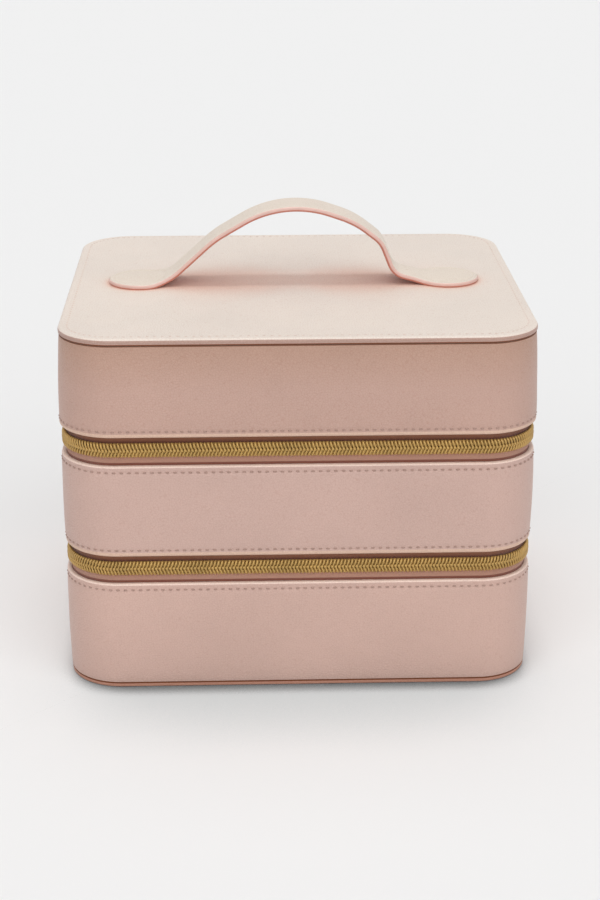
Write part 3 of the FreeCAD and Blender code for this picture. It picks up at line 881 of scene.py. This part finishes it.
# a panel's seam finish is painted shade
PANEL_FACE, PANEL_SIDE, PANEL_SEAM_SHADE = 0, 1, 2    # finishes of a panel, in the order of its materials
PANEL_PLACES = 360
FACE_ROWS, MIDDLE_ROWS = 46, 22     # on a panel's face, as far as its round corners go and within
CENTRE_GAP = 0.2 * MM           # between the last of the first rows and the middle of a round corner
FACE_EASE = 1.25                # over 1, the rows of a face are closer together near its edge
MIDDLE_SHARE = 0.9              # of a straight side, by which the middle line is shorter than the front
PANEL_CROWN = 0.5 * MM
CHANNEL_DIP = 0.06 * MM         # stitched channel of the top panel
CHANNEL_WIDTH = 0.6 * MM
PANEL_RIPPLE = 0.10 * MM
RIPPLE_START = 8 * MM           # from the edge, where the ripple is whole
RIPPLE_SEED = 9.0


def crown_rise(share):
    """The share of a panel's crown that is reached at a share of the way from its edge to its middle."""
    return 1 - (1 - min(1.0, share)) ** 3


def panel_surface(reach, crown, stitch_inset):
    """Height added to a panel's face: its crown, its stitched channel and a slight ripple."""
    def rise(inset, x, y):
        if not crown:
            return 0.0
        dip = CHANNEL_DIP * bell(inset - stitch_inset, CHANNEL_WIDTH)
        ripple = PANEL_RIPPLE * slow_waves(x, y, 0.0, RIPPLE_SEED) * min(1.0, inset / RIPPLE_START)
        return crown * crown_rise(inset / reach) - dip + ripple
    return rise


def top_panel_finish(strip):
    """Which finish a strip of the top panel takes, counted from its underside: face, side or seam."""
    if strip < SEAM_SHADE_STRIPS:
        return PANEL_SEAM_SHADE
    return PANEL_SIDE if strip < SEAM_SHADE_STRIPS + SIDE_STRIPS else PANEL_FACE


def base_panel_finish(strip):
    """The same for the base panel, whose seam is above its side."""
    return PANEL_SEAM_SHADE if strip >= BASE_STRIPS else PANEL_FACE


def panel_mesh(name, cad_node, body, rounding, crown, stitch_inset, finishes, finish_of):
    """Leather-covered board: rolled edge, shallow stitched channel and a soft crown. Returns its plan."""
    low, high = node_box(cad_node)
    plan = Plan(high.x - low.x, high.y - low.y, CORNER + (high.x - low.x - WIDTH) / 2)
    r_top, r_low = rounding
    rise = panel_surface(min(plan.half_front, plan.half_side) + plan.radius, crown, stitch_inset)
    profile = [(r_low * off, low.z + r_low * (1 - up)) for off, up in reversed(quarter_arc(LOW_STEPS))]
    profile += [(r_top * off, high.z - r_top * (1 - up)) for off, up in quarter_arc(TOP_STEPS)]
    span = plan.radius - r_top - CENTRE_GAP
    profile += [(r_top + span * (k / FACE_ROWS) ** FACE_EASE, high.z) for k in range(1, FACE_ROWS)]
    verts, faces = [], []
    rows = len(profile)
    for s in plan.closed(PANEL_PLACES):
        for inset, z in profile:
            x, y, _, _ = plan.at(s, inset)
            verts.append(Vector((x, y, z + (rise(inset, x, y) if z >= high.z else 0.0))))
    for i in range(PANEL_PLACES):
        j = (i + 1) % PANEL_PLACES
        for k in range(rows - 1):
            faces.append((i * rows + k, i * rows + k + 1, j * rows + k + 1, j * rows + k))
    slots = [finish_of(k) for k in range(rows - 1)] * PANEL_PLACES
    fill_face(verts, faces, range(rows - 1, PANEL_PLACES * rows, rows), high.z, rise, plan)
    faces.append(tuple(i * rows for i in range(PANEL_PLACES)))
    slots += [finish_of(rows)] * (len(faces) - len(slots) - 1) + [finish_of(0)]
    panel = new_piece(name, verts, faces, body, (cad_node,), None, [finish(each) for each in finishes],
                      slots)
    clean(panel)
    return plan


def fill_face(verts, faces, rim, top, rise, plan):
    """Closes the inner outline of a panel's face with rows that shrink towards its middle line."""
    rim_points = [verts[i].copy() for i in rim]
    end = plan.half_front - plan.half_side * MIDDLE_SHARE
    within = min(plan.half_front, plan.half_side)
    previous = rim
    for k in range(1, MIDDLE_ROWS + 1):
        t = k / MIDDLE_ROWS
        row = []
        for p in rim_points:
            q = p.lerp(Vector((max(-end, min(end, p.x)), 0, p.z)), t)
            q.z = top + rise(plan.radius + within * t, q.x, q.y)
            row.append(len(verts))
            verts.append(q)
        count = len(row)
        for i in range(count):
            j = (i + 1) % count
            faces.append((previous[i], row[i], row[j], previous[j]))
        previous = row


# ---- handle --------------------------------------------------------------------------------------------
STRAP_T = 2.8 * MM
STRAP_HALF = 11.5 * MM
STRAP_CROWN = 0.2 * MM
STRAP_CORNER = 1.1 * MM     # rounding of the strap's four long edges
STRAP_STEP = 1.3 * MM       # from one row of the strap's mesh to the next
ACROSS_STEPS, DISC_STEPS, EDGE_STEPS = 34, 24, 5
BEND_STEPS = 5              # the fewest rows in a bend
DISC_R = node_box("handle")[1].y
DISC_X = node_box("handle")[1].x - DISC_R
NECK_FLARE = 20.0 * MM
ARCH_CORNERS = ((-68.0, 0.0), (-41.6, 24.0), (-4.9, 45.5), (31.4, 32.9), (45.0, 22.4), (52.0, 5.0),
                (70.5, 0.0))                                 # (x, height) in millimetres
ARCH_BENDS = (27.0, 52.0, 54.0, 45.0, 13.5, 12.0, 30.0)      # their radii in millimetres
RING_INSET = 3.0 * MM       # from the disc's edge to its pressed ring
RING_DEPTH = 0.42 * MM
RING_WIDTH = 0.5 * MM
PAINT_TOP = STRAP_T - 0.15 * MM
DARK_EDGE_TOP = 0.8 * MM      # the strap's edge is dark red-brown below this: partly its lower layer, partly painted shade
SHARPEST = 0.05             # keeps the rounding of a disc's edge from running away at its tip
FACE, PAINTED, BACKING = 0, 1, 2    # finishes of the strap, in the order of its materials


def arch_line():
    """(point, direction) along the strap's underside, left to right: straight runs joined by bends."""
    corners = [Vector((x, z)) * MM for x, z in ARCH_CORNERS]
    corners = [Vector((-DISC_X, 0.0)), *corners, Vector((DISC_X, 0.0))]
    line = [(corners[0], 0.0)]
    for before, corner, after, radius in zip(corners, corners[1:], corners[2:], ARCH_BENDS):
        r = radius * MM
        come, leave = (corner - before).normalized(), (after - corner).normalized()
        first, last = math.atan2(come.y, come.x), math.atan2(leave.y, leave.x)
        side = math.copysign(1.0, last - first)
        start = corner - come * (r * math.tan(abs(last - first) / 2))
        centre = start + Vector((-come.y, come.x)) * (side * r)
        straight_to(line, start, first)
        steps = max(BEND_STEPS, round(abs(last - first) * r / STRAP_STEP))
        for k in range(1, steps + 1):
            turn = first + (last - first) * k / steps
            line.append((centre + Vector((math.sin(turn), -math.cos(turn))) * (side * r), turn))
    straight_to(line, corners[-1], 0.0)
    return line


def straight_to(line, point, turn):
    """Adds evenly spaced places on the straight run up to point."""
    start = line[-1][0]
    steps = max(1, round((point - start).length / STRAP_STEP))
    for k in range(1, steps + 1):
        line.append((start.lerp(point, k / steps), turn))


def strap_edge(x):
    """Half the strap's breadth at x, and which way its edge faces there, for the side where y is positive."""
    across, side = abs(x), math.copysign(1.0, x)
    reach = DISC_R + NECK_FLARE
    run = math.sqrt(reach ** 2 - (STRAP_HALF + NECK_FLARE) ** 2)
    if across > DISC_X - run * DISC_R / reach:
        off = across - DISC_X
        half = math.sqrt(max(0.0, DISC_R ** 2 - off ** 2))
        return half, side * off / DISC_R, half / DISC_R
    off = max(0.0, across - (DISC_X - run))
    rise = math.sqrt(NECK_FLARE ** 2 - off ** 2)
    return STRAP_HALF + NECK_FLARE - rise, -side * off / NECK_FLARE, rise / NECK_FLARE


def strap_stations():
    """(point, direction) from tip to tip: closer together over the round ends."""
    tips = [DISC_R * math.cos(math.pi / 2 * k / DISC_STEPS) for k in range(DISC_STEPS)]
    left = [(Vector((-DISC_X - off, 0.0)), 0.0) for off in tips]
    right = [(Vector((DISC_X + off, 0.0)), 0.0) for off in reversed(tips)]
    return left + arch_line() + right


def pressed(x, y):
    """Depth of the ring pressed into a disc's face."""
    from_edge = DISC_R - math.hypot(abs(x) - DISC_X, y)
    return RING_DEPTH * bell(from_edge - RING_INSET, RING_WIDTH)


def edge_section():
    """(inset, height) from the strap's underside up its rounded edge to its face."""
    arc = [(STRAP_CORNER * (1 - up), STRAP_CORNER * off) for off, up in quarter_arc(EDGE_STEPS)]
    return arc + [(inset, STRAP_T - height) for inset, height in reversed(arc)]


def edge_finish(height):
    """Finish of the strap's edge at a height above its underside."""
    # the lowest band of the edge: the lower layer, darkened in part as painted shade
    if height < DARK_EDGE_TOP:
        return BACKING
    return PAINTED if height < PAINT_TOP else FACE


def strap_ring(point, turn):
    """Closed row of points round the strap at one station, and the finish at each."""
    half, nx, ny = strap_edge(point.x)
    along, up = Vector((math.cos(turn), 0, math.sin(turn))), Vector((-math.sin(turn), 0, math.cos(turn)))
    base = Vector((point.x, 0, LID_TOP + point.y))
    edge = []
    for inset, height in edge_section():
        inset = min(inset, half / max(ny, SHARPEST))
        edge.append((-nx * inset, half - ny * inset, height))
    shift, inner_half, _ = edge[-1]
    row, finishes = [], []

    def add(off, y, height, its_finish):
        row.append(base + along * off + up * height + Vector((0, y, 0)))
        finishes.append(its_finish)

    for off, y, height in edge:
        add(off, -y, height, edge_finish(height))
    for k in range(1, ACROSS_STEPS):
        y = inner_half * (2 * k / ACROSS_STEPS - 1)
        crown = STRAP_CROWN * (1 - (y / STRAP_HALF) ** 2 if half < DISC_R else 0)
        add(shift, y, STRAP_T + crown - pressed(point.x + shift, y), FACE)
    for off, y, height in reversed(edge):
        add(off, y, height, edge_finish(height))
    for k in range(1, ACROSS_STEPS):
        add(shift, inner_half * (1 - 2 * k / ACROSS_STEPS), 0.0, BACKING)
    return row, finishes


def strip_finish(one, other):
    """Finish between two rows of the strap: the backing wins over both others, the face over the paint."""
    if BACKING in (one, other):
        return BACKING
    return min(one, other)


def strap_mesh():
    """Flat strap with round painted edges, bent into an arch, with a disc at each end."""
    verts, faces, slots = [], [], []
    rings = [strap_ring(point, turn) for point, turn in strap_stations()]
    rows = len(rings[0][0])
    for ring, _ in rings:
        verts.extend(ring)
    for i, (_, finishes) in enumerate(rings[:-1]):
        for k in range(rows):
            m = (k + 1) % rows
            faces.append((i * rows + k, (i + 1) * rows + k, (i + 1) * rows + m, i * rows + m))
            slots.append(strip_finish(finishes[k], finishes[m]))
    strap = new_piece("strap_handle", verts, faces, "lid", ("handle",), None,
                      (finish("handle_leather"), finish("edge_paint"), finish("strap_backing")), slots)
    clean(strap)


# ---- zips and hinge strips -----------------------------------------------------------------------------
CHAIN_GAP = 0.1 * MM        # from each coil's node to the middle of the chain
COIL_SIDES = 6
COIL_STEPS = 16             # points in one turn
COIL_DEPTH = 1.55 * MM      # how far the middle of the wire stands out from its tape in front
COIL_END = 2.2 * MM         # least length from the last turn to the tape's end
UPPER_REACH = 0.45 * MM     # how much further an upper coil reaches than a lower one
SLANT = 0.75                # share of a coil's pitch that its turn gains across the outside
TURN_LEAD = 0.45            # how early a turn comes to the front, in radians
TURN_SQUARE = 1.7           # over 1, a turn is flat in front and behind
# Along a turn, as shares of it from its tips: a tip is pressed wide, and the wire is pinched behind it.
HEAD_WIDER, HEAD_LENGTH = 0.55, 0.07
PINCH, PINCH_PLACE, PINCH_LENGTH = 0.35, 0.16, 0.05
TAPE_ROWS, HINGE_ROWS = 16, 28


def zip_tape(cad_node, body, side):
    """One tape, whose flat coordinates are its length and how far it stands out from the rim."""
    low, high = node_box(cad_node)
    verts, faces, uvs = thin_strip(cad_node, TAPE_ROWS, ZIP_START, ZIP_FINISH)
    rim = low.z + HEM_HEIGHT if side < 0 else high.z - HEM_HEIGHT
    uvs = [(s, side * (rim - z)) for (s, _), (_, _, z) in zip(uvs, verts)]
    new_piece(f"{cad_node}_woven", verts, faces, body, (cad_node,), uvs,
              (finish("zip_tape" if side < 0 else "upper_tape"),))


def wire_width(i):
    """Share of its full thickness that a coil's wire has at its point i."""
    from_tip = min(i % COIL_STEPS, COIL_STEPS - i % COIL_STEPS) / COIL_STEPS
    return 1 + HEAD_WIDER * bell(from_tip, HEAD_LENGTH) - PINCH * bell(from_tip - PINCH_PLACE, PINCH_LENGTH)


def zip_coil(cad_node, body, side, wound_back):
    """One coil: each turn slants across the outside of the chain and comes straight back behind it."""
    size = sizes()
    low, high = node_box(cad_node)
    middle = low.z - CHAIN_GAP if side > 0 else high.z + CHAIN_GAP
    half_turn = size.coil_pitch / 2 if side > 0 else 0.0
    start = PLAN.half_side - high.y + half_turn
    turns = int((ZIP_FINISH - COIL_END - start) / size.coil_pitch) - 1
    reach = size.coil_reach + (UPPER_REACH if side > 0 else 0.0)
    half_across = (reach + size.coil_cross) / 2 - size.coil_wire
    centre = (reach - size.coil_cross) / 2
    front, back = TAPE_OUT - COIL_DEPTH, TAPE_OUT - size.coil_wire
    points, starts = [], []
    for i in range(turns * COIL_STEPS + 1):
        turn, step = divmod(i, COIL_STEPS)
        share = step / COIL_STEPS
        phase = 2 * math.pi * share
        lift = max(-1.0, min(1.0, TURN_SQUARE * math.sin(phase + TURN_LEAD)))
        run = turn + SLANT * eased(min(1.0, share * 2)) + (1 - SLANT) * max(0.0, share * 2 - 1)
        s = start + (turns - run if wound_back else run) * size.coil_pitch
        x, y, nx, ny = PLAN.at(s, (front + back) / 2 + (front - back) / 2 * lift)
        points.append(Vector((x, y, middle + side * (centre - half_across * math.cos(phase)))))
        starts.append(Vector((ny, -nx, 0)))
    verts, faces = tube(points, starts, size.coil_wire, COIL_SIDES)
    thicken(verts, points, COIL_SIDES, [wire_width(i) for i in range(len(points))])
    new_piece(f"{cad_node}_wire", verts, faces, body, (cad_node,),
              materials=(finish("coil_gold"),))


def hinge_strip(cad_node, lower, upper):
    """Strip between two tiers, from one zip end round the back to the other."""
    verts, faces, uvs = thin_strip(cad_node, HINGE_ROWS, ZIP_FINISH, PLAN.length + ZIP_START)
    strip = new_piece(f"{cad_node}_leather", verts, faces, None, (cad_node,), uvs,
                      (finish("hinge_leather"),))
    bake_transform(strip)


# ---- stage ---------------------------------------------------------------------------------------------
FLOOR_HALF = 30.0           # half the width of the floor, in metres
FLOOR_SHARE = 0.955         # the floor sends back a little less light than the backdrop
# How the floor darkens: where the light that the case keeps out would come from, and the share of that light
# at which the dark tone is whole and gone.
NEAR_FACING, NEAR_WHOLE, NEAR_GONE = (0.0, 0.92, 0.39), 0.25, 0.76
TOUCH_FACING, TOUCH_WHOLE, TOUCH_GONE = (0.0, 0.82, 0.57), 0.2, 0.66


def floor_shade(tree, reach, facing, whole, gone):
    """Mask of the floor, 0 where the case stands close and 1 where it is out of reach."""
    direction = node(tree, "ShaderNodeCombineXYZ", inputs=tuple(zip("XYZ", facing)))
    occlusion = node(tree, "ShaderNodeAmbientOcclusion", samples=AIR_SAMPLES,
                     links=((direction.outputs[0], "Normal"),), inputs=(("Distance", reach),))
    return mapped(tree, occlusion.outputs["AO"], whole, gone)


def floor(setting):
    """A wide plain floor as bright as the backdrop, a little darker near the case and under its edge."""
    h = FLOOR_HALF
    mesh = bpy.data.meshes.new("Floor")
    mesh.from_pydata([(-h, -h, 0), (h, -h, 0), (h, h, 0), (-h, h, 0)], [], [(0, 1, 2, 3)])
    ground = bpy.data.objects.new("Floor", mesh)
    bpy.context.scene.collection.objects.link(ground)
    material, tree, shader, _ = new_material("Pale floor", roughness=1.0)
    sunlight = sum(energy * -towards.normalized().z for _, towards, energy, _ in lamp_list(setting))
    tone = setting.backdrop / (setting.daylight + sunlight / math.pi) * FLOOR_SHARE
    near = floor_shade(tree, setting.near_shade, NEAR_FACING, NEAR_WHOLE, NEAR_GONE)
    touch = floor_shade(tree, setting.touch_shade, TOUCH_FACING, TOUCH_WHOLE, TOUCH_GONE)
    near_colour = tinted(tree, near, [tone * channel for channel in setting.near_tone], (tone,) * 3)
    touch_colour = tinted(tree, touch, setting.touch_tone, (1.0,) * 3)
    both = node(tree, "ShaderNodeMix", data_type="RGBA", blend_type="MULTIPLY",
                links=((near_colour, MIX_A), (touch_colour, MIX_B)), inputs=((MIX_FACTOR, 1.0),))
    tree.links.new(both.outputs[MIX_OUT], shader.inputs["Base Color"])
    shader.inputs["Specular IOR Level"].default_value = 0.0
    mesh.materials.append(material)


def studio_world(setting):
    """A world that lights the case evenly and shows as the backdrop, in reflections too."""
    world = bpy.data.worlds.new("Studio")
    bpy.context.scene.world = world
    world.use_nodes = True
    tree = world.node_tree
    light = tree.nodes["Background"]
    light.inputs["Color"].default_value = (1, 1, 1, 1)
    light.inputs["Strength"].default_value = setting.daylight
    seen = node(tree, "ShaderNodeBackground", inputs=(("Color", (setting.backdrop,) * 3 + (1,)),))
    rays = node(tree, "ShaderNodeLightPath").outputs
    bounced = combined(tree, "MAXIMUM", rays["Is Glossy Ray"], rays["Is Transmission Ray"])
    shown = combined(tree, "MAXIMUM", rays["Is Camera Ray"], bounced)
    mix = node(tree, "ShaderNodeMixShader", links=((shown, 0), (light.outputs[0], 1), (seen.outputs[0], 2)))
    tree.links.new(mix.outputs[0], tree.nodes["World Output"].inputs["Surface"])


def lamp_list(setting):
    """(name, direction, strength, angular width) of each lamp."""
    return (
        ("Overhead", Vector((0.02, 0.02, -1.0)), setting.overhead, math.radians(10)),
        ("Rear", Vector((0.05, -0.35, -1.0)), setting.rear, math.radians(45)),
        ("Front", Vector((-0.10, 1.0, -0.50)), setting.front, math.radians(110)),
    )


def lamps(setting):
    for name, towards, energy, spread in lamp_list(setting):
        data = bpy.data.lights.new(name, "SUN")
        data.energy = energy
        data.angle = spread
        lamp = bpy.data.objects.new(name, data)
        bpy.context.scene.collection.objects.link(lamp)
        lamp.rotation_euler = towards.to_track_quat("-Z", "Y").to_euler()


def camera(setting):
    """Camera at the front, a little above the case."""
    data = bpy.data.cameras.new("Camera")
    data.lens = setting.lens
    cam = bpy.data.objects.new("Camera", data)
    bpy.context.scene.collection.objects.link(cam)
    a, e = math.radians(setting.azimuth), math.radians(setting.elevation)
    back = Vector((math.sin(a) * math.cos(e), -math.cos(a) * math.cos(e), math.sin(e)))
    cam.location = Vector(setting.middle) + back * setting.distance
    cam.rotation_euler = (Vector(setting.aim) - cam.location).to_track_quat("-Z", "Y").to_euler()
    bpy.context.scene.camera = cam
    bpy.context.scene.view_settings.view_transform = "Standard"


# ---- operators -----------------------------------------------------------------------------------------
TIERS_JOINED = (("base", "base", "middle"), ("lid", "middle", "lid"))     # zip or hinge, lower and upper body
LOWER, UPPER = -1, 1                    # side of a chain that a tape and its coil are on
BASE_LEAN = (-0.5 * MM, 0.0)            # how far each band stands out at its lower and its upper end
MIDDLE_LEAN = (0.0, 0.1 * MM)
LID_LEAN = (0.7 * MM, -1.1 * MM)
TOP_ROUNDING = (1.6 * MM, 1.2 * MM)     # of a panel's upper and lower edge
BASE_ROUNDING = (0.9 * MM, 0.4 * MM)
PANEL_THREAD_RISE = 0.3                 # the middle of the panel's thread above the leather, in its radii
STOP_EASING, SLIDER_EASING, PULL_EASING = 0.2 * MM, 0.3 * MM, 0.25 * MM
PADDED_EASING, RIVET_EASING = 0.6 * MM, 0.3 * MM


class CASE_OT_stage(bpy.types.Operator):
    """Pale floor, soft studio light and the camera"""

    bl_idname = "case.stage"
    bl_label = "Stage"

    def execute(self, context):
        setting = context.scene.case_stage
        floor(setting)
        studio_world(setting)
        lamps(setting)
        camera(setting)
        return {"FINISHED"}


class CASE_OT_bands(bpy.types.Operator):
    """Leather bands of the three tiers, with their stitches"""

    bl_idname = "case.bands"
    bl_label = "Leather bands"

    def execute(self, context):
        tiers = (("base", (False, True), BASE_LEAN, "cover_leather"),
                 ("middle", (True, True), MIDDLE_LEAN, "middle_leather"),
                 ("lid", (True, False), LID_LEAN, "lid_leather"))
        for seed, (tier, hems, lean, leather) in enumerate(tiers, start=1):
            leather_band(f"{tier}_band", f"{tier}_cover", tier, hems, seed, lean, leather)
        return {"FINISHED"}


class CASE_OT_panels(bpy.types.Operator):
    """Top panel with its stitched border, and the base panel"""

    bl_idname = "case.panels"
    bl_label = "Panels"

    def execute(self, context):
        size = sizes()
        inset = size.panel_stitch_inset
        # the top panel's side and seam tones are painted shade
        plan = panel_mesh("top_panel_leather", "top_panel", "lid", TOP_ROUNDING,
                          PANEL_CROWN, inset, ("panel_leather", "panel_side_shade_leather", "seam_shade_leather"),
                          top_panel_finish)
        rise = PANEL_CROWN * crown_rise(inset / (plan.half_side + plan.radius)) - CHANNEL_DIP
        z = LID_TOP + rise + size.panel_thread * PANEL_THREAD_RISE
        row_of_stitches("top_panel_stitches", ring_places(plan, inset, z, lying=True), "lid",
                        finish("panel_thread"), size.panel_thread)
        # the base panel's seam tone is painted shade
        panel_mesh("base_panel_leather", "base_panel", "base", BASE_ROUNDING,
                   0.0, 0.0, ("welt_leather", "welt_leather", "seam_shade_leather"), base_panel_finish)
        return {"FINISHED"}


class CASE_OT_zips(bpy.types.Operator):
    """Tapes and wound coils of both zips"""

    bl_idname = "case.zips"
    bl_label = "Zips"

    def execute(self, context):
        for name, lower_body, upper_body in TIERS_JOINED:
            for half, body, side in (("lower", lower_body, LOWER), ("upper", upper_body, UPPER)):
                zip_tape(f"{name}_zip_{half}_tape", body, side)
                zip_coil(f"{name}_zip_{half}_coil", body, side, wound_back=name == "base")
                dress(f"{name}_zip_{half}_stops", "zip_gold", STOP_EASING)
        return {"FINISHED"}


class CASE_OT_sliders(bpy.types.Operator):
    """Zip sliders and their pulls"""

    bl_idname = "case.sliders"
    bl_label = "Sliders and pulls"

    def execute(self, context):
        for name, _, _ in TIERS_JOINED:
            dress(f"{name}_zip_slider", "zip_gold", SLIDER_EASING)
            dress(f"{name}_zip_pull", "zip_gold", PULL_EASING)
        return {"FINISHED"}


class CASE_OT_hinges(bpy.types.Operator):
    """Leather hinge strips at the back"""

    bl_idname = "case.hinges"
    bl_label = "Hinge strips"

    def execute(self, context):
        for name, lower_body, upper_body in TIERS_JOINED:
            hinge_strip(f"{name}_hinge_strip", lower_body, upper_body)
        return {"FINISHED"}


class CASE_OT_handle(bpy.types.Operator):
    """Strap handle with round ends and a pressed ring on each"""

    bl_idname = "case.handle"
    bl_label = "Handle"

    def execute(self, context):
        strap_mesh()
        return {"FINISHED"}


class CASE_OT_inside(bpy.types.Operator):
    """Lining, floors, dividers, boards, mirror and rivets"""

    bl_idname = "case.inside"
    bl_label = "Inside"

    def execute(self, context):
        for tier, cover in (("base", "floor"), ("middle", "floor"), ("lid", "ceiling")):
            dress(f"{tier}_lining", "suede_lining")
            dress(f"{tier}_{cover}", "suede_lining")
            dress(f"{tier}_board", "fibre_board")
        for name in ("long_divider", "cross_dividers", "mirror_frame"):
            dress(name, "suede_lining", PADDED_EASING)
        dress("mirror", "mirror_glass")
        dress("handle_rivets", "rivet_metal", RIVET_EASING)
        return {"FINISHED"}


class CASE_PT_panel(bpy.types.Panel):
    """Lists the pieces of the case"""

    bl_label = "Makeup Case"
    bl_idname = "CASE_PT_panel"
    bl_space_type = "VIEW_3D"
    bl_region_type = "UI"
    bl_category = "Makeup Case"

    def draw(self, context):
        for operator in OPERATORS:
            self.layout.operator(operator.bl_idname)
        for group_name in ("case_sizes", "case_colours", "case_stage"):
            box = self.layout.box()
            settings = getattr(context.scene, group_name)
            for name in settings.__annotations__:
                box.prop(settings, name)


OPERATORS = (CASE_OT_stage, CASE_OT_bands, CASE_OT_panels, CASE_OT_zips, CASE_OT_sliders, CASE_OT_hinges,
             CASE_OT_handle, CASE_OT_inside)
CLASSES = (CaseSizes, CaseColours, CaseStage, *OPERATORS, CASE_PT_panel)


def register():
    for cls in CLASSES:
        bpy.utils.register_class(cls)
    bpy.types.Scene.case_sizes = PointerProperty(type=CaseSizes)
    bpy.types.Scene.case_colours = PointerProperty(type=CaseColours)
    bpy.types.Scene.case_stage = PointerProperty(type=CaseStage)


def unregister():
    del bpy.types.Scene.case_stage
    del bpy.types.Scene.case_colours
    del bpy.types.Scene.case_sizes
    for cls in reversed(CLASSES):
        bpy.utils.unregister_class(cls)


def main():
    register()
    bpy.ops.case.stage()
    bpy.ops.case.bands()
    bpy.ops.case.panels()
    bpy.ops.case.zips()
    bpy.ops.case.sliders()
    bpy.ops.case.hinges()
    bpy.ops.case.handle()
    bpy.ops.case.inside()


if __name__ == "__main__":
    main()
